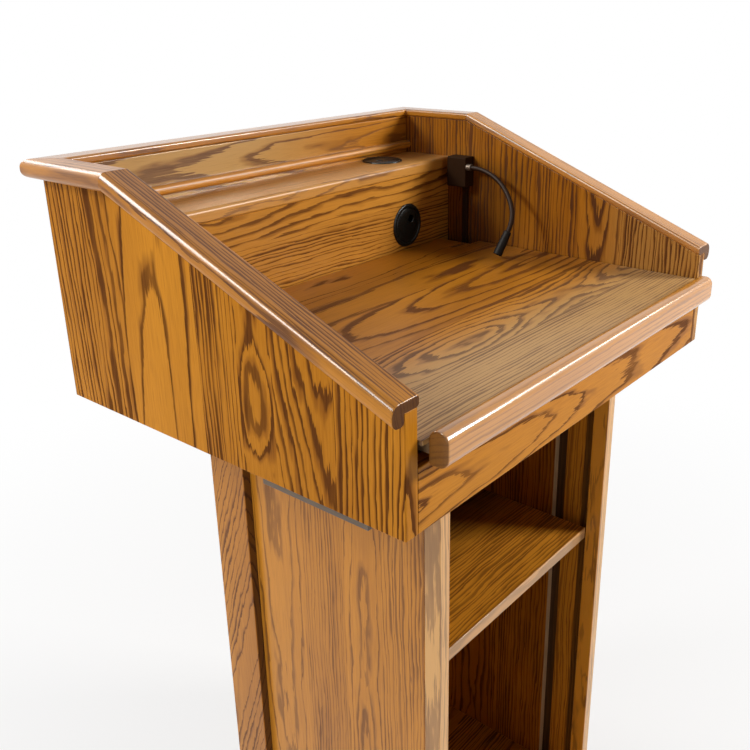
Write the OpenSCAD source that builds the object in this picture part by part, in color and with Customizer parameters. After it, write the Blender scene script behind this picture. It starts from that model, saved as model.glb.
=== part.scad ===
// Lectern head with a tilting reading surface on a shelved pedestal, all of oak boards.
// Millimetres, +Z up, the speaker stands at -Y and faces +Y.
// The origin is on the floor under the middle of the head's outline.

/* [Head] */
// Width of the head over its side panels
head_width = 740; // [680:10:820]
// Depth of the head from apron face to audience face
head_depth = 600; // [560:10:680]
// Height of the head's underside above the floor
head_base_height = 890; // [820:5:940]
// Height of the level capping's top above the head's underside
head_height = 331; // [315:1:360]
// Fall of the side panels' sloping top, in degrees
slope_angle = 21.6; // [19:0.1:23]
// Depth of the level part of the side panels' top
level_depth = 160; // [145:5:180]
// Thickness of the head's boards
board = 20; // [18:1:22]
// Thickness of the head's floor
head_floor_thickness = 12; // [9:1:14]

/* [Capping] */
// Thickness of the capping over the panels
cap_thickness = 12; // [10:1:14]
// Height of the capping's outer leg, measured from its top
cap_drop = 24; // [21:1:30]
// How far the capping stands outside the panels
cap_overhang = 19; // [16:1:24]
// How far the capping laps over the inside of the panels
cap_inner_lap = 3; // [2:0.5:5]
// Round along the capping's outer top edge
cap_outer_round = 8; // [5:0.5:9]
// Round along the capping's inner nose
cap_nose_round = 4; // [2:0.5:4.5]
// Round along the bottom of the capping's outer leg
cap_leg_round = 5; // [3:0.5:6]

/* [Reading surface] */
// Height of the reading surface above the head's underside
surface_height = 107; // [104:1:112]
// Thickness of the reading surface
surface_thickness = 19; // [17:1:20]
// Gap between the reading surface and each side panel
surface_end_gap = 2; // [1.5:0.5:4]
// Gap between the reading surface and the riser
surface_rear_gap = 3.5; // [3:0.5:6]
// How far the reading surface reaches over the apron's face
surface_front_reach = 4; // [4:0.5:6]
// Gap between the apron's top and the reading surface
apron_gap = 11; // [10:0.5:14]
// Thickness of the tongue left at the surface's front ends
tongue_thickness = 5; // [4:0.5:8]
// Depth of the relief under the tongues
tongue_depth = 30; // [20:1:40]
// Largest tilt of the reading surface, in degrees
tilt_max = 18; // [12:1:18]

/* [Book stop] */
// Height of the book stop
stop_height = 40; // [36:1:44]
// How far the book stop stands above the reading surface
stop_rise = 10; // [6:1:14]
// Thickness of the book stop
stop_depth = 25; // [23:1:30]
// Gap between the book stop's ends and the side panels' inner faces
stop_end_gap = 12; // [8:1:20]
// Round along the book stop's top edges
stop_top_round = 11; // [8:0.5:11]
// Round along the book stop's lower front edge
stop_low_round = 8; // [4:0.5:9]
// Round along the book stop's lower rear edge
stop_back_round = 3; // [2:0.5:4]

/* [Surface hinge] */
// Length of the hinge along the apron
hinge_length = 600; // [480:10:620]
// Number of knuckles, odd so that both end knuckles are fixed ones
knuckle_count = 11; // [7:2:15]
// Radius of the hinge knuckles
knuckle_radius = 3.5; // [3:0.1:4]
// Radius of the hinge pin
pin_radius = 1.5; // [1.2:0.1:1.8]
// Running clearance round the hinge pin
pin_clearance = 0.05; // [0.03:0.01:0.08]
// Thickness of the hinge leaves
leaf_thickness = 1.5; // [1.2:0.1:2]
// Width of the hinge leaves
leaf_width = 26; // [20:1:30]

/* [Quadrant stays] */
// Radius of the stays' slot about the hinge axis
stay_radius = 140; // [125:5:150]
// Width of the stays
stay_width = 17; // [15:1:20]
// Thickness of the stays
stay_thickness = 2; // [1.5:0.5:3]
// Gap between the stays and the side panels
stay_gap = 12; // [9:1:16]
// Radius of the stays' guide studs
stud_radius = 3; // [2.5:0.25:3.5]
// Angle of the studs below the hinge axis, in degrees
stud_angle = 4; // [4:0.5:5]
// Clearance between a stud and its slot
stud_clearance = 0.4; // [0.3:0.1:0.8]
// Radius of the clamping knobs on the studs
knob_radius = 9; // [7:0.5:9]

/* [Surface cleats] */
// Width of the cleats that carry the reading surface
cleat_width = 18; // [14:1:22]
// Height of the cleats
cleat_height = 20; // [15:1:24]
// Length of the side cleats
side_cleat_length = 160; // [120:5:180]

/* [Equipment shelf] */
// Height of the equipment shelf above the head's underside
shelf_height = 253.5; // [246:0.5:262]
// Depth between the riser's face and the audience panel
equipment_depth = 99; // [96:1:120]
// How far the shelf's nosing stands in front of the riser
shelf_nosing = 3; // [1:0.5:6]
// Round along the nosing's top edge
nosing_round = 6; // [3:0.5:9]
// Height of the bead along the audience panel
bead_height = 15; // [12:1:17]
// Depth of the bead
bead_depth = 11; // [8.5:0.5:14]
// Gap between the equipment shelf and the bead
bead_gap = 6.5; // [4:0.5:9]

/* [Cable grommets] */
// Sideways position of the riser's grommet
riser_grommet_x = 229; // [150:1:250]
// Height of the riser's grommet above the head's underside
riser_grommet_height = 148; // [146:1:170]
// Radius of the riser grommet's flange
riser_grommet_radius = 38; // [35:0.5:38]
// Sideways position of the shelf's grommet
shelf_grommet_x = 238; // [150:1:260]
// Radius of the shelf grommet's flange
shelf_grommet_radius = 35.5; // [33:0.5:38]
// Width of the flange round a grommet's sleeve
flange_width = 5; // [4:0.5:7]
// Thickness of the grommet flanges
flange_thickness = 2.5; // [2:0.25:2.5]
// Wall of the grommet sleeves
sleeve_wall = 2; // [1.5:0.25:3]
// Thickness of the turning caps
grommet_cap_thickness = 3; // [2.5:0.25:4]
// Clearance round the turning caps
grommet_cap_clearance = 0.4; // [0.3:0.1:0.8]
// Radius of the cable hole through each cap
cable_hole_radius = 6.5; // [5:0.5:8]

/* [Reading lamp] */
// Width of the lamp's base, out from the side panel
lamp_base_width = 25; // [23:1:30]
// Depth of the lamp's base along the panel
lamp_base_depth = 40; // [30:1:44]
// Height of the lamp's base
lamp_base_height = 53; // [45:1:60]
// How far the lamp's base stands above the equipment shelf
lamp_base_rise = 4.5; // [0:0.5:10]
// Gap between the lamp's base and the riser
lamp_riser_gap = 16; // [12:1:24]
// Radius of the flexible neck
neck_radius = 4.2; // [3.5:0.1:4.5]
// Length of the ferrule
ferrule_length = 9; // [8:0.5:12]
// Lean of the neck's plane from upright, in degrees
neck_lean = 28; // [20:1:32]
// Radius of the lamp's hood
hood_radius = 7.5; // [7:0.25:9]
// Length of the lamp's hood
hood_length = 43; // [38:1:48]
// Width of the cover over the lamp's cable
cable_cover_width = 10; // [8:0.5:14]

/* [Steel rails] */
// Length of the steel rail under each side panel
rail_length = 162; // [120:2:200]
// Width of the rails
rail_width = 16; // [14:1:18]
// Thickness of the rails
rail_thickness = 8; // [5:1:10]
// Distance from the apron's face to the rails
rail_setback = 53; // [40:1:80]

/* [Pedestal] */
// Width of the pedestal over its sides
pedestal_width = 456; // [420:4:500]
// Distance from the head's apron face back to the pedestal
pedestal_setback = 63; // [50:1:80]
// Depth of the pedestal over its corner posts
pedestal_depth = 417; // [380:1:440]
// Thickness of the pedestal's sides
side_thickness = 20; // [18:1:24]
// Thickness of the outer skin of each side
skin_thickness = 8; // [6:1:10]
// Depth of the front edging strips
edging_depth = 25; // [20:1:32]
// Depth of the recess behind each edging strip
recess_depth = 64; // [40:1:80]
// Depth of the corner posts
post_depth = 71; // [50:1:80]
// How far the corner posts stand proud of the sides
post_proud = 13; // [8:1:16]
// How far the back panel is set in from the posts' audience faces
back_inset = 18; // [10:1:24]
// Thickness of the back panel
back_thickness = 12; // [9:1:15]
// Distance from the head's underside down to the middle shelf
middle_shelf_drop = 305; // [250:5:400]
// Side clearance of the middle shelf
middle_shelf_gap = 1; // [0.5:0.25:1.5]

/* [Base] */
// How far the base board reaches beyond the pedestal's sides
base_side_reach = 52; // [40:1:80]
// How far the base board reaches towards the speaker
base_speaker_reach = 53; // [30:1:70]
// How far the base board reaches towards the audience
base_audience_reach = 70; // [40:1:90]
// Thickness of the base board
base_thickness = 25; // [20:1:35]
// Round along the base board's top edge
base_round = 10; // [6:1:14]
// Height of the glides
glide_height = 6; // [4:1:12]
// Radius of the glides
glide_radius = 14; // [10:1:18]

/* [Hidden] */
$fn = 64;
oak = [0.70, 0.42, 0.17];
oak_dark = [0.45, 0.24, 0.10];
black = [0.07, 0.07, 0.08];
steel = [0.55, 0.57, 0.60];
brass = [0.72, 0.58, 0.32];

// Length used for cutting blocks that only have to reach past everything
far = 2000;
// Overlap that joins two shapes of one piece
joined = 0.5;

// Head outline
front_reach = surface_front_reach + stop_depth;
speaker_y = (front_reach - cap_overhang - head_depth) / 2;
audience_y = speaker_y + head_depth;
inner_audience_y = audience_y - board;
outer_x = head_width / 2;
inner_x = outer_x - board;
knee_y = audience_y - level_depth;
panel_top = head_height - cap_thickness;
panel_knee_y = knee_y + cap_thickness * tan(slope_angle / 2);
panel_front_top = panel_top - (panel_knee_y - speaker_y) * tan(slope_angle);
cap_inner_reach = board + cap_inner_lap;
slope_length = (knee_y - speaker_y) / cos(slope_angle);

// Reading surface, apron and hinge
surface_under = surface_height - surface_thickness;
apron_height = surface_under - apron_gap;
apron_inner_y = speaker_y + board;
riser_y = inner_audience_y - equipment_depth;
surface_front_y = speaker_y - surface_front_reach;
surface_rear_y = riser_y - surface_rear_gap;
surface_half = inner_x - surface_end_gap;
stop_half = inner_x - stop_end_gap;
axis_y = apron_inner_y + knuckle_radius + joined;
axis_z = surface_under - leaf_thickness + joined - knuckle_radius;
knuckle_pitch = hinge_length / knuckle_count;
knuckle_gap = 0.6;
knuckle_length = knuckle_pitch - knuckle_gap;
leaf_relief = knuckle_radius + 0.5;
pin_head_radius = pin_radius + 1.2;
pin_head_length = 2;

// Quadrant stays
slot_radius = stud_radius + stud_clearance;
stay_x = inner_x - stay_gap - stay_thickness;
slot_spare_angle = 0.3;
slot_low_angle = stud_angle + tilt_max + slot_spare_angle;
slot_high_angle = stud_angle - slot_spare_angle;
ring_end_step = 0.2;
stay_half = stay_width / 2;
bracket_width = 14;
knob_length = 9;

// Equipment shelf
shelf_under = shelf_height - board;
shelf_front_y = riser_y - shelf_nosing;
nosing_low_round = min(3, board - nosing_round - 1);

// Grommets
sleeve_gap = 0.5;
shelf_grommet_y = inner_audience_y - max(shelf_grommet_radius, 35.5) - joined;
cap_seat = 3;
cap_hole_offset = 13.6;

// Lamp
lamp_inner_x = inner_x - lamp_base_width;
lamp_top = shelf_height + lamp_base_rise;
lamp_low = lamp_top - lamp_base_height;
lamp_back_y = riser_y - lamp_riser_gap;
lamp_face_y = lamp_back_y - lamp_base_depth;
ferrule_radius = neck_radius + 2;
neck_x = lamp_inner_x + ferrule_radius;
neck_z = lamp_top - 17;
ferrule_front_y = lamp_face_y - ferrule_length;
neck_running = 0.05;
neck_near_radius = 118;
neck_near_turn = 61;
neck_far_radius = 62.5;
neck_far_turn = 59;
hood_turn = 20;
swage_length = 4;
first_ring = 0.6;
hood_floor = 10;
lens_setback = 3;
mitre_spare = 60;
swage_radius = neck_radius + 0.25;
hood_wall = 1.2;
cover_depth = 6;
cover_y = lamp_face_y + lamp_base_depth / 4;
notch_x = lamp_inner_x - 5;
notch_y = lamp_face_y - 17;

// Rails
rail_y = speaker_y + rail_setback;
rail_x = outer_x - board / 2 - rail_width / 2;
screw_radius = 2;
screw_fit = 0.05;
screw_head_radius = 4;
screw_head_height = 2;
screw_reach = 28;
bolt_radius = 4;

// Pedestal
ped_outer_x = pedestal_width / 2;
ped_inner_x = ped_outer_x - side_thickness;
ped_front_y = speaker_y + pedestal_setback;
ped_back_y = ped_front_y + pedestal_depth;
recess_y = ped_front_y + edging_depth;
liner_y = recess_y + recess_depth;
post_y = ped_back_y - post_depth;
post_outer_x = ped_outer_x + post_proud;
back_face_y = ped_back_y - back_inset;
back_panel_y = back_face_y - back_thickness;
base_top = glide_height + base_thickness;
shelf_top_z = head_base_height - middle_shelf_drop;
support_reach = 10;
support_drop = 3;
bolt_inset = 70;

// Lifts a shape from the head's own height zero to its place above the floor
module at_head() {
    translate([0, 0, head_base_height]) children();
}

// Box from its low corner to its high corner
module block(low, high) {
    translate(low) cube(high - low);
}

// Turns a section drawn in (y, z) into a length along X
module along_x(x_from, x_to) {
    translate([x_from, 0, 0]) rotate([90, 0, 90]) linear_extrude(x_to - x_from) children();
}

// Turns a section drawn in (x, z) into a length along Y
module along_y(y_from, y_to) {
    translate([0, y_to, 0]) rotate([90, 0, 0]) linear_extrude(y_to - y_from) children();
}

// Flat plan drawn in (x, y), given a height
module upright(z_from, z_to) {
    translate([0, 0, z_from]) linear_extrude(z_to - z_from) children();
}

// Rectangle whose four corners have their own rounds, low left first and then round by the right
module rounded_rect(w, h, low_left, low_right, top_right, top_left) {
    difference() {
        square([w, h]);
        corner_cut(0, 0, low_left, 1, 1);
        corner_cut(w, 0, low_right, -1, 1);
        corner_cut(w, h, top_right, -1, -1);
        corner_cut(0, h, top_left, 1, -1);
    }
}

// What a rounded corner leaves out of a square one
module corner_cut(x, y, r, sx, sy) {
    translate([x, y]) scale([sx, sy]) difference() {
        translate([-1, -1]) square([r + 1, r + 1]);
        translate([r, r]) circle(r);
        translate([r, -2]) square([r + 2, r + 4]);
        translate([-2, r]) square([r + 4, r + 2]);
    }
}

// Side panel of the head, drawn in (y, z)
module side_profile() {
    polygon([
        [speaker_y, 0],
        [audience_y, 0],
        [audience_y, panel_top],
        [panel_knee_y, panel_top],
        [speaker_y, panel_front_top]
    ]);
}

module rail_pilots() {
    for (f = [0.12, 0.88]) {
        translate([rail_x + rail_width / 2, rail_y + rail_length * f, -rail_thickness - 1]) {
            cylinder(h = rail_thickness + screw_reach + 1, r = screw_radius + screw_fit);
        }
    }
}

module side_panel() {
    color(oak) at_head() difference() {
        along_x(inner_x, outer_x) side_profile();
        rail_pilots();
    }
}

module left_side_panel() {
    mirror([1, 0, 0]) side_panel();
}

module right_side_panel() {
    side_panel();
}

module front_panel() {
    color(oak) at_head() block([-inner_x, inner_audience_y, 0], [inner_x, audience_y, panel_top]);
}

module apron() {
    color(oak) at_head() block([-inner_x, speaker_y, 0], [inner_x, apron_inner_y, apron_height]);
}

module bolt_places() {
    for (sx = [-1, 1], y = [recess_y + bolt_inset, back_panel_y - bolt_inset]) {
        translate([sx * (ped_inner_x - bolt_inset), y, 0]) children();
    }
}

module head_floor() {
    color(oak_dark) at_head() difference() {
        block([-inner_x, apron_inner_y, 0], [inner_x, inner_audience_y, head_floor_thickness]);
        bolt_places() translate([0, 0, -1]) cylinder(h = far / 20, r = bolt_radius + screw_fit);
    }
}

// Capping section, x outward from the panel's face and y up from the capping's top
module cap_section() {
    translate([-cap_inner_reach, -cap_thickness]) {
        rounded_rect(cap_inner_reach + cap_overhang, cap_thickness,
            cap_nose_round, 0.01, cap_outer_round, cap_nose_round);
    }
    translate([0, -cap_drop]) {
        rounded_rect(cap_overhang, cap_drop, cap_leg_round, cap_leg_round, cap_outer_round, 0.01);
    }
}

// Half of space behind the plane that halves the knee's angle
module knee_side(toward_audience) {
    translate([0, knee_y, head_height]) rotate([slope_angle / 2, 0, 0]) {
        translate([-far / 2, toward_audience ? 0 : -far, -far / 2]) cube([far, far, far]);
    }
}

module level_cap() {
    color(oak) at_head() intersection() {
        translate([outer_x, 0, head_height]) along_y(knee_y - mitre_spare, audience_y + cap_overhang) cap_section();
        knee_side(true);
        upright(0, far / 2) polygon([
            [outer_x - cap_inner_reach, audience_y - cap_inner_reach],
            [outer_x + cap_overhang, audience_y + cap_overhang],
            [outer_x + cap_overhang, knee_y - mitre_spare],
            [outer_x - cap_inner_reach, knee_y - mitre_spare]
        ]);
    }
}

module left_level_cap() {
    mirror([1, 0, 0]) level_cap();
}

module right_level_cap() {
    level_cap();
}

module slope_cap() {
    color(oak) at_head() intersection() {
        translate([outer_x, knee_y, head_height]) rotate([slope_angle, 0, 0]) {
            along_y(-slope_length - 40, 40) cap_section();
        }
        knee_side(false);
        translate([-far / 2, speaker_y, -far / 2]) cube([far, far, far]);
    }
}

module left_slope_cap() {
    mirror([1, 0, 0]) slope_cap();
}

module right_slope_cap() {
    slope_cap();
}

module front_cap() {
    reach_x = outer_x + cap_overhang;
    reach_y = audience_y + cap_overhang;
    nose_x = outer_x - cap_inner_reach;
    nose_y = audience_y - cap_inner_reach;
    color(oak) at_head() intersection() {
        translate([0, audience_y, head_height]) along_x(-reach_x, reach_x) cap_section();
        upright(0, far / 2) polygon([
            [-reach_x, reach_y],
            [reach_x, reach_y],
            [nose_x, nose_y],
            [-nose_x, nose_y]
        ]);
    }
}

module equipment_shelf() {
    color(oak) at_head() difference() {
        along_x(-inner_x, inner_x) translate([shelf_front_y, shelf_under]) {
            rounded_rect(inner_audience_y - shelf_front_y, board, nosing_low_round, 0.01, 0.01, nosing_round);
        }
        translate([shelf_grommet_x, shelf_grommet_y, shelf_under - 1]) {
            cylinder(h = board + 2, r = shelf_grommet_radius - flange_width + sleeve_gap);
        }
    }
}

module shelf_cleats() {
    color(oak_dark) at_head() for (s = [0, 1]) mirror([s, 0, 0]) {
        block([inner_x - cleat_width, riser_y + board, shelf_under - cleat_height],
            [inner_x, inner_audience_y, shelf_under]);
    }
}

module riser_panel() {
    color(oak) at_head() difference() {
        block([-inner_x, riser_y, head_floor_thickness], [inner_x, riser_y + board, shelf_under]);
        translate([riser_grommet_x, riser_y - 1, riser_grommet_height]) rotate([-90, 0, 0]) {
            cylinder(h = board + 2, r = riser_grommet_radius - flange_width + sleeve_gap);
        }
    }
}

module shelf_bead() {
    round_r = min(bead_height / 2, bead_depth - 0.5);
    color(oak) at_head() along_x(-inner_x, inner_x) {
        translate([inner_audience_y - bead_depth, shelf_height + bead_gap]) {
            rounded_rect(bead_depth, bead_height, round_r, 0.01, 0.01, round_r);
        }
    }
}

module side_surface_cleat() {
    cleat_rear_y = notch_y - 5;
    color(oak_dark) at_head() {
        block([inner_x - cleat_width, cleat_rear_y - side_cleat_length, surface_under - cleat_height],
            [inner_x, cleat_rear_y, surface_under]);
    }
}

module left_surface_cleat() {
    mirror([1, 0, 0]) side_surface_cleat();
}

module right_surface_cleat() {
    side_surface_cleat();
}

module rear_surface_cleat() {
    color(oak_dark) at_head() {
        block([-notch_x + 10, riser_y - cleat_width, surface_under - cleat_height],
            [notch_x - 10, riser_y, surface_under]);
    }
}

module reading_surface() {
    color(oak) at_head() difference() {
        block([-surface_half, surface_front_y, surface_under], [surface_half, surface_rear_y, surface_height]);
        block([notch_x, notch_y, surface_under - 1], [outer_x, surface_rear_y + 1, surface_height + 1]);
        for (s = [0, 1]) mirror([s, 0, 0]) {
            block([stop_half - 2, surface_front_y - 1, surface_under - 1],
                [outer_x, surface_front_y + tongue_depth, surface_height - tongue_thickness]);
        }
    }
}

module book_stop() {
    color(oak) at_head() along_x(-stop_half, stop_half) {
        translate([surface_front_y - stop_depth, surface_height + stop_rise - stop_height]) {
            rounded_rect(stop_depth, stop_height, stop_low_round, stop_back_round, stop_top_round, stop_top_round);
        }
    }
}

// Tubes of the hinge, every second one from the given start
module knuckles(first) {
    for (i = [first : 2 : knuckle_count - 1]) {
        translate([-hinge_length / 2 + i * knuckle_pitch + knuckle_gap / 2, axis_y, axis_z]) {
            rotate([0, 90, 0]) cylinder(h = knuckle_length, r = knuckle_radius);
        }
    }
}

module pin_bore() {
    translate([-hinge_length, axis_y, axis_z]) rotate([0, 90, 0]) {
        cylinder(h = hinge_length * 2, r = pin_radius + pin_clearance);
    }
}

module hinge_upper_leaf() {
    color(brass) at_head() difference() {
        union() {
            knuckles(1);
            for (i = [1 : 2 : knuckle_count - 1]) {
                x = -hinge_length / 2 + i * knuckle_pitch + knuckle_gap / 2;
                block([x, axis_y, surface_under - leaf_thickness],
                    [x + knuckle_length, axis_y + leaf_relief + 1, surface_under]);
            }
            block([-hinge_length / 2, axis_y + leaf_relief, surface_under - leaf_thickness],
                [hinge_length / 2, axis_y + leaf_relief + leaf_width, surface_under]);
        }
        pin_bore();
    }
}

module hinge_lower_leaf() {
    color(brass) at_head() difference() {
        union() {
            knuckles(0);
            for (i = [0 : 2 : knuckle_count - 1]) {
                x = -hinge_length / 2 + i * knuckle_pitch + knuckle_gap / 2;
                block([x, apron_inner_y, axis_z - leaf_relief - 1],
                    [x + knuckle_length, apron_inner_y + leaf_thickness, axis_z]);
            }
            block([-hinge_length / 2, apron_inner_y, axis_z - leaf_relief - leaf_width],
                [hinge_length / 2, apron_inner_y + leaf_thickness, axis_z - leaf_relief]);
        }
        pin_bore();
    }
}

module hinge_pin() {
    end_x = hinge_length / 2 - knuckle_gap / 2;
    color(steel) at_head() translate([0, axis_y, axis_z]) rotate([0, 90, 0]) {
        translate([0, 0, -end_x - pin_head_length]) cylinder(h = 2 * (end_x + pin_head_length), r = pin_radius);
        translate([0, 0, end_x]) cylinder(h = pin_head_length, r = pin_head_radius);
        translate([0, 0, -end_x - pin_head_length]) cylinder(h = pin_head_length, r = pin_head_radius);
    }
}

// Part of a ring about the hinge axis, round at its low end, drawn in (y, z) from that axis
module ring_part(half_w, low_angle, high_angle, clip_top) {
    intersection() {
        difference() {
            circle(stay_radius + half_w, $fn = 256);
            circle(stay_radius - half_w, $fn = 256);
        }
        polygon([
            [0, 0],
            [far * cos(low_angle), -far * sin(low_angle)],
            [far * cos(high_angle), clip_top > 0 ? clip_top : -far * sin(high_angle)],
            [0, clip_top > 0 ? clip_top : 0]
        ]);
    }
    rotate(-low_angle) translate([stay_radius, 0]) circle(half_w - ring_end_step);
}

module quadrant_stay() {
    top = surface_under - axis_z;
    near = axis_y + stay_radius - stay_half;
    color(steel) at_head() {
        translate([0, axis_y, axis_z]) along_x(stay_x, stay_x + stay_thickness) difference() {
            ring_part(stay_half, slot_low_angle, 0, top);
            ring_part(slot_radius, slot_low_angle, slot_high_angle, 0);
            rotate(-slot_high_angle) translate([stay_radius, 0]) circle(slot_radius - ring_end_step);
        }
        block([stay_x - bracket_width, near + 2, surface_under - stay_thickness],
            [stay_x + stay_thickness, near + stay_width - 2, surface_under]);
    }
}

module left_quadrant_stay() {
    mirror([1, 0, 0]) quadrant_stay();
}

module right_quadrant_stay() {
    quadrant_stay();
}

// Point on the side panels where the stays' studs stand
module stud_place() {
    translate([inner_x, axis_y, axis_z]) rotate([-stud_angle, 0, 0]) translate([0, stay_radius, 0]) {
        rotate([0, -90, 0]) children();
    }
}

module stay_stud() {
    color(steel) at_head() stud_place() {
        cylinder(h = stay_gap - stud_clearance, r = stud_radius + 4);
        cylinder(h = stay_gap + stay_thickness + stud_clearance, r = stud_radius);
    }
}

module left_stay_stud() {
    mirror([1, 0, 0]) stay_stud();
}

module right_stay_stud() {
    stay_stud();
}

module stay_knob() {
    color(black) at_head() stud_place() {
        translate([0, 0, stay_gap + stay_thickness + stud_clearance]) {
            cylinder(h = knob_length, r1 = knob_radius, r2 = knob_radius - 1);
        }
    }
}

module left_stay_knob() {
    mirror([1, 0, 0]) stay_knob();
}

module right_stay_knob() {
    stay_knob();
}

// Flange and sleeve of a grommet, its face towards +Z and the board below zero
module grommet_liner(flange_r) {
    sleeve_r = flange_r - flange_width;
    seat_z = flange_thickness - grommet_cap_thickness - grommet_cap_clearance;
    color(black) difference() {
        union() {
            cylinder(h = flange_thickness, r1 = flange_r, r2 = flange_r - 1);
            translate([0, 0, -board]) cylinder(h = board + flange_thickness / 2, r = sleeve_r);
        }
        translate([0, 0, seat_z]) cylinder(h = far, r = sleeve_r - sleeve_wall);
        translate([0, 0, -board - 1]) cylinder(h = far, r = sleeve_r - sleeve_wall - cap_seat);
    }
}

// Turning cap of a grommet with its off-centre cable hole
module grommet_cap(flange_r, turned) {
    cap_r = flange_r - flange_width - sleeve_wall - grommet_cap_clearance;
    color(black) rotate(turned) difference() {
        translate([0, 0, flange_thickness - grommet_cap_thickness]) {
            cylinder(h = grommet_cap_thickness, r = cap_r);
        }
        translate([cap_hole_offset, 0, -far / 2]) cylinder(h = far, r = cable_hole_radius);
    }
}

module riser_grommet_place() {
    at_head() translate([riser_grommet_x, riser_y, riser_grommet_height]) rotate([90, 0, 0]) children();
}

module shelf_grommet_place() {
    at_head() translate([shelf_grommet_x, shelf_grommet_y, shelf_height]) children();
}

module riser_grommet_liner() {
    riser_grommet_place() grommet_liner(riser_grommet_radius);
}

module riser_grommet_cap() {
    riser_grommet_place() grommet_cap(riser_grommet_radius, 54);
}

module shelf_grommet_liner() {
    shelf_grommet_place() grommet_liner(shelf_grommet_radius);
}

module shelf_grommet_cap() {
    shelf_grommet_place() grommet_cap(shelf_grommet_radius, 200);
}

module lamp_base() {
    color(black) at_head() along_y(lamp_face_y, lamp_back_y) translate([lamp_inner_x, lamp_low]) {
        rounded_rect(lamp_base_width, lamp_base_height, 3, 0.01, 0.01, 3);
    }
}

module lamp_cable_cover() {
    color(black) at_head() {
        block([inner_x - cover_depth, cover_y, head_floor_thickness],
            [inner_x, cover_y + cable_cover_width, lamp_low]);
    }
}

module lamp_ferrule() {
    color(steel) at_head() translate([neck_x, lamp_face_y, neck_z]) rotate([90, 0, 0]) difference() {
        cylinder(h = ferrule_length, r = ferrule_radius);
        translate([0, 0, -1]) cylinder(h = ferrule_length + 2, r = neck_radius + neck_running);
    }
}

// Frame of the neck: it leaves the ferrule along +X of this frame and bends towards -Z in it
module neck_frame() {
    at_head() translate([neck_x, ferrule_front_y, neck_z]) rotate([0, neck_lean, 0]) {
        rotate([0, 0, -90]) children();
    }
}

// A bend about a centre below the neck, which starts along +X and turns down, drawn between two angles
module neck_bend(bend_r, from_turn, to_turn, tube_r) {
    translate([0, 0, -bend_r]) rotate([90, 0, 0]) rotate([0, 0, 90 - to_turn]) {
        rotate_extrude(angle = to_turn - from_turn, $fn = 128) translate([bend_r, 0]) circle(tube_r);
    }
}

// Ring pressed over the neck where two stretches of it meet
module swage(from_x) {
    translate([from_x, 0, 0]) rotate([0, 90, 0]) cylinder(h = swage_length, r = swage_radius);
}

// Frame at the end of a bend that started along +X
module after_bend(bend_r, turn) {
    translate([bend_r * sin(turn), 0, -bend_r * (1 - cos(turn))]) rotate([0, turn, 0]) children();
}

// Frame at the start of the hood, +X pointing to its mouth
module hood_frame() {
    neck_frame() after_bend(neck_near_radius, neck_near_turn) {
        after_bend(neck_far_radius, neck_far_turn - hood_turn) children();
    }
}

module lamp_neck() {
    start = ferrule_length - 1;
    inside = swage_length / 4;
    near_inside = inside / neck_near_radius * 180 / PI;
    far_inside = inside / neck_far_radius * 180 / PI;
    color(black) {
        neck_frame() {
            translate([-start, 0, 0]) rotate([0, 90, 0]) cylinder(h = start + first_ring + inside, r = neck_radius);
            swage(first_ring);
            neck_bend(neck_near_radius, 3 * near_inside, neck_near_turn - near_inside, neck_radius);
        }
        neck_frame() after_bend(neck_near_radius, neck_near_turn) {
            swage(-swage_length / 2);
            neck_bend(neck_far_radius, far_inside, neck_far_turn - hood_turn, neck_radius);
        }
    }
}

module lamp_hood() {
    color(black) hood_frame() rotate([0, 90, 0]) difference() {
        cylinder(h = hood_length, r1 = hood_radius - 1, r2 = hood_radius + 0.5);
        translate([0, 0, hood_floor]) {
            cylinder(h = hood_length, r1 = hood_radius - 1 - hood_wall, r2 = hood_radius + 0.5 - hood_wall);
        }
    }
}

module lamp_lens() {
    color([0.93, 0.92, 0.86]) hood_frame() rotate([0, 90, 0]) {
        translate([0, 0, hood_floor]) {
            cylinder(h = hood_length - hood_floor - lens_setback, r = hood_radius - 1 - hood_wall);
        }
    }
}

module rail() {
    color(steel) at_head() difference() {
        block([rail_x, rail_y, -rail_thickness], [rail_x + rail_width, rail_y + rail_length, 0]);
        rail_pilots();
    }
}

module left_rail() {
    mirror([1, 0, 0]) rail();
}

module right_rail() {
    rail();
}

module rail_screws() {
    color(steel) at_head() for (s = [0, 1], f = [0.12, 0.88]) mirror([s, 0, 0]) {
        translate([rail_x + rail_width / 2, rail_y + rail_length * f, -rail_thickness - screw_head_height]) {
            cylinder(h = screw_head_height, r = screw_head_radius);
            cylinder(h = screw_head_height + rail_thickness + screw_reach - 2, r = screw_radius);
        }
    }
}

module head_bolts() {
    color(steel) at_head() bolt_places() {
        translate([0, 0, head_floor_thickness]) cylinder(h = 3, r = bolt_radius + 4);
        translate([0, 0, -board + 2]) cylinder(h = board + head_floor_thickness, r = bolt_radius);
    }
}

module side_skin() {
    color(oak) block([ped_outer_x - skin_thickness, recess_y, base_top], [ped_outer_x, post_y, head_base_height]);
}

module left_side_skin() {
    mirror([1, 0, 0]) side_skin();
}

module right_side_skin() {
    side_skin();
}

module front_edging() {
    color(oak) block([ped_inner_x, ped_front_y, base_top], [ped_outer_x, recess_y, head_base_height]);
}

module left_front_edging() {
    mirror([1, 0, 0]) front_edging();
}

module right_front_edging() {
    front_edging();
}

module support_places() {
    for (y = [liner_y + 30, post_y - 30]) {
        translate([ped_inner_x, y, shelf_top_z - board - support_drop]) children();
    }
}

module liner() {
    color(oak) difference() {
        block([ped_inner_x, liner_y, base_top + board], [ped_outer_x - skin_thickness, post_y, head_base_height]);
        support_places() translate([-1, 0, -3]) rotate([0, 90, 0]) {
            cylinder(h = support_reach + 1, r = 2.5 + screw_fit);
        }
    }
}

module left_liner() {
    mirror([1, 0, 0]) liner();
}

module right_liner() {
    liner();
}

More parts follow.
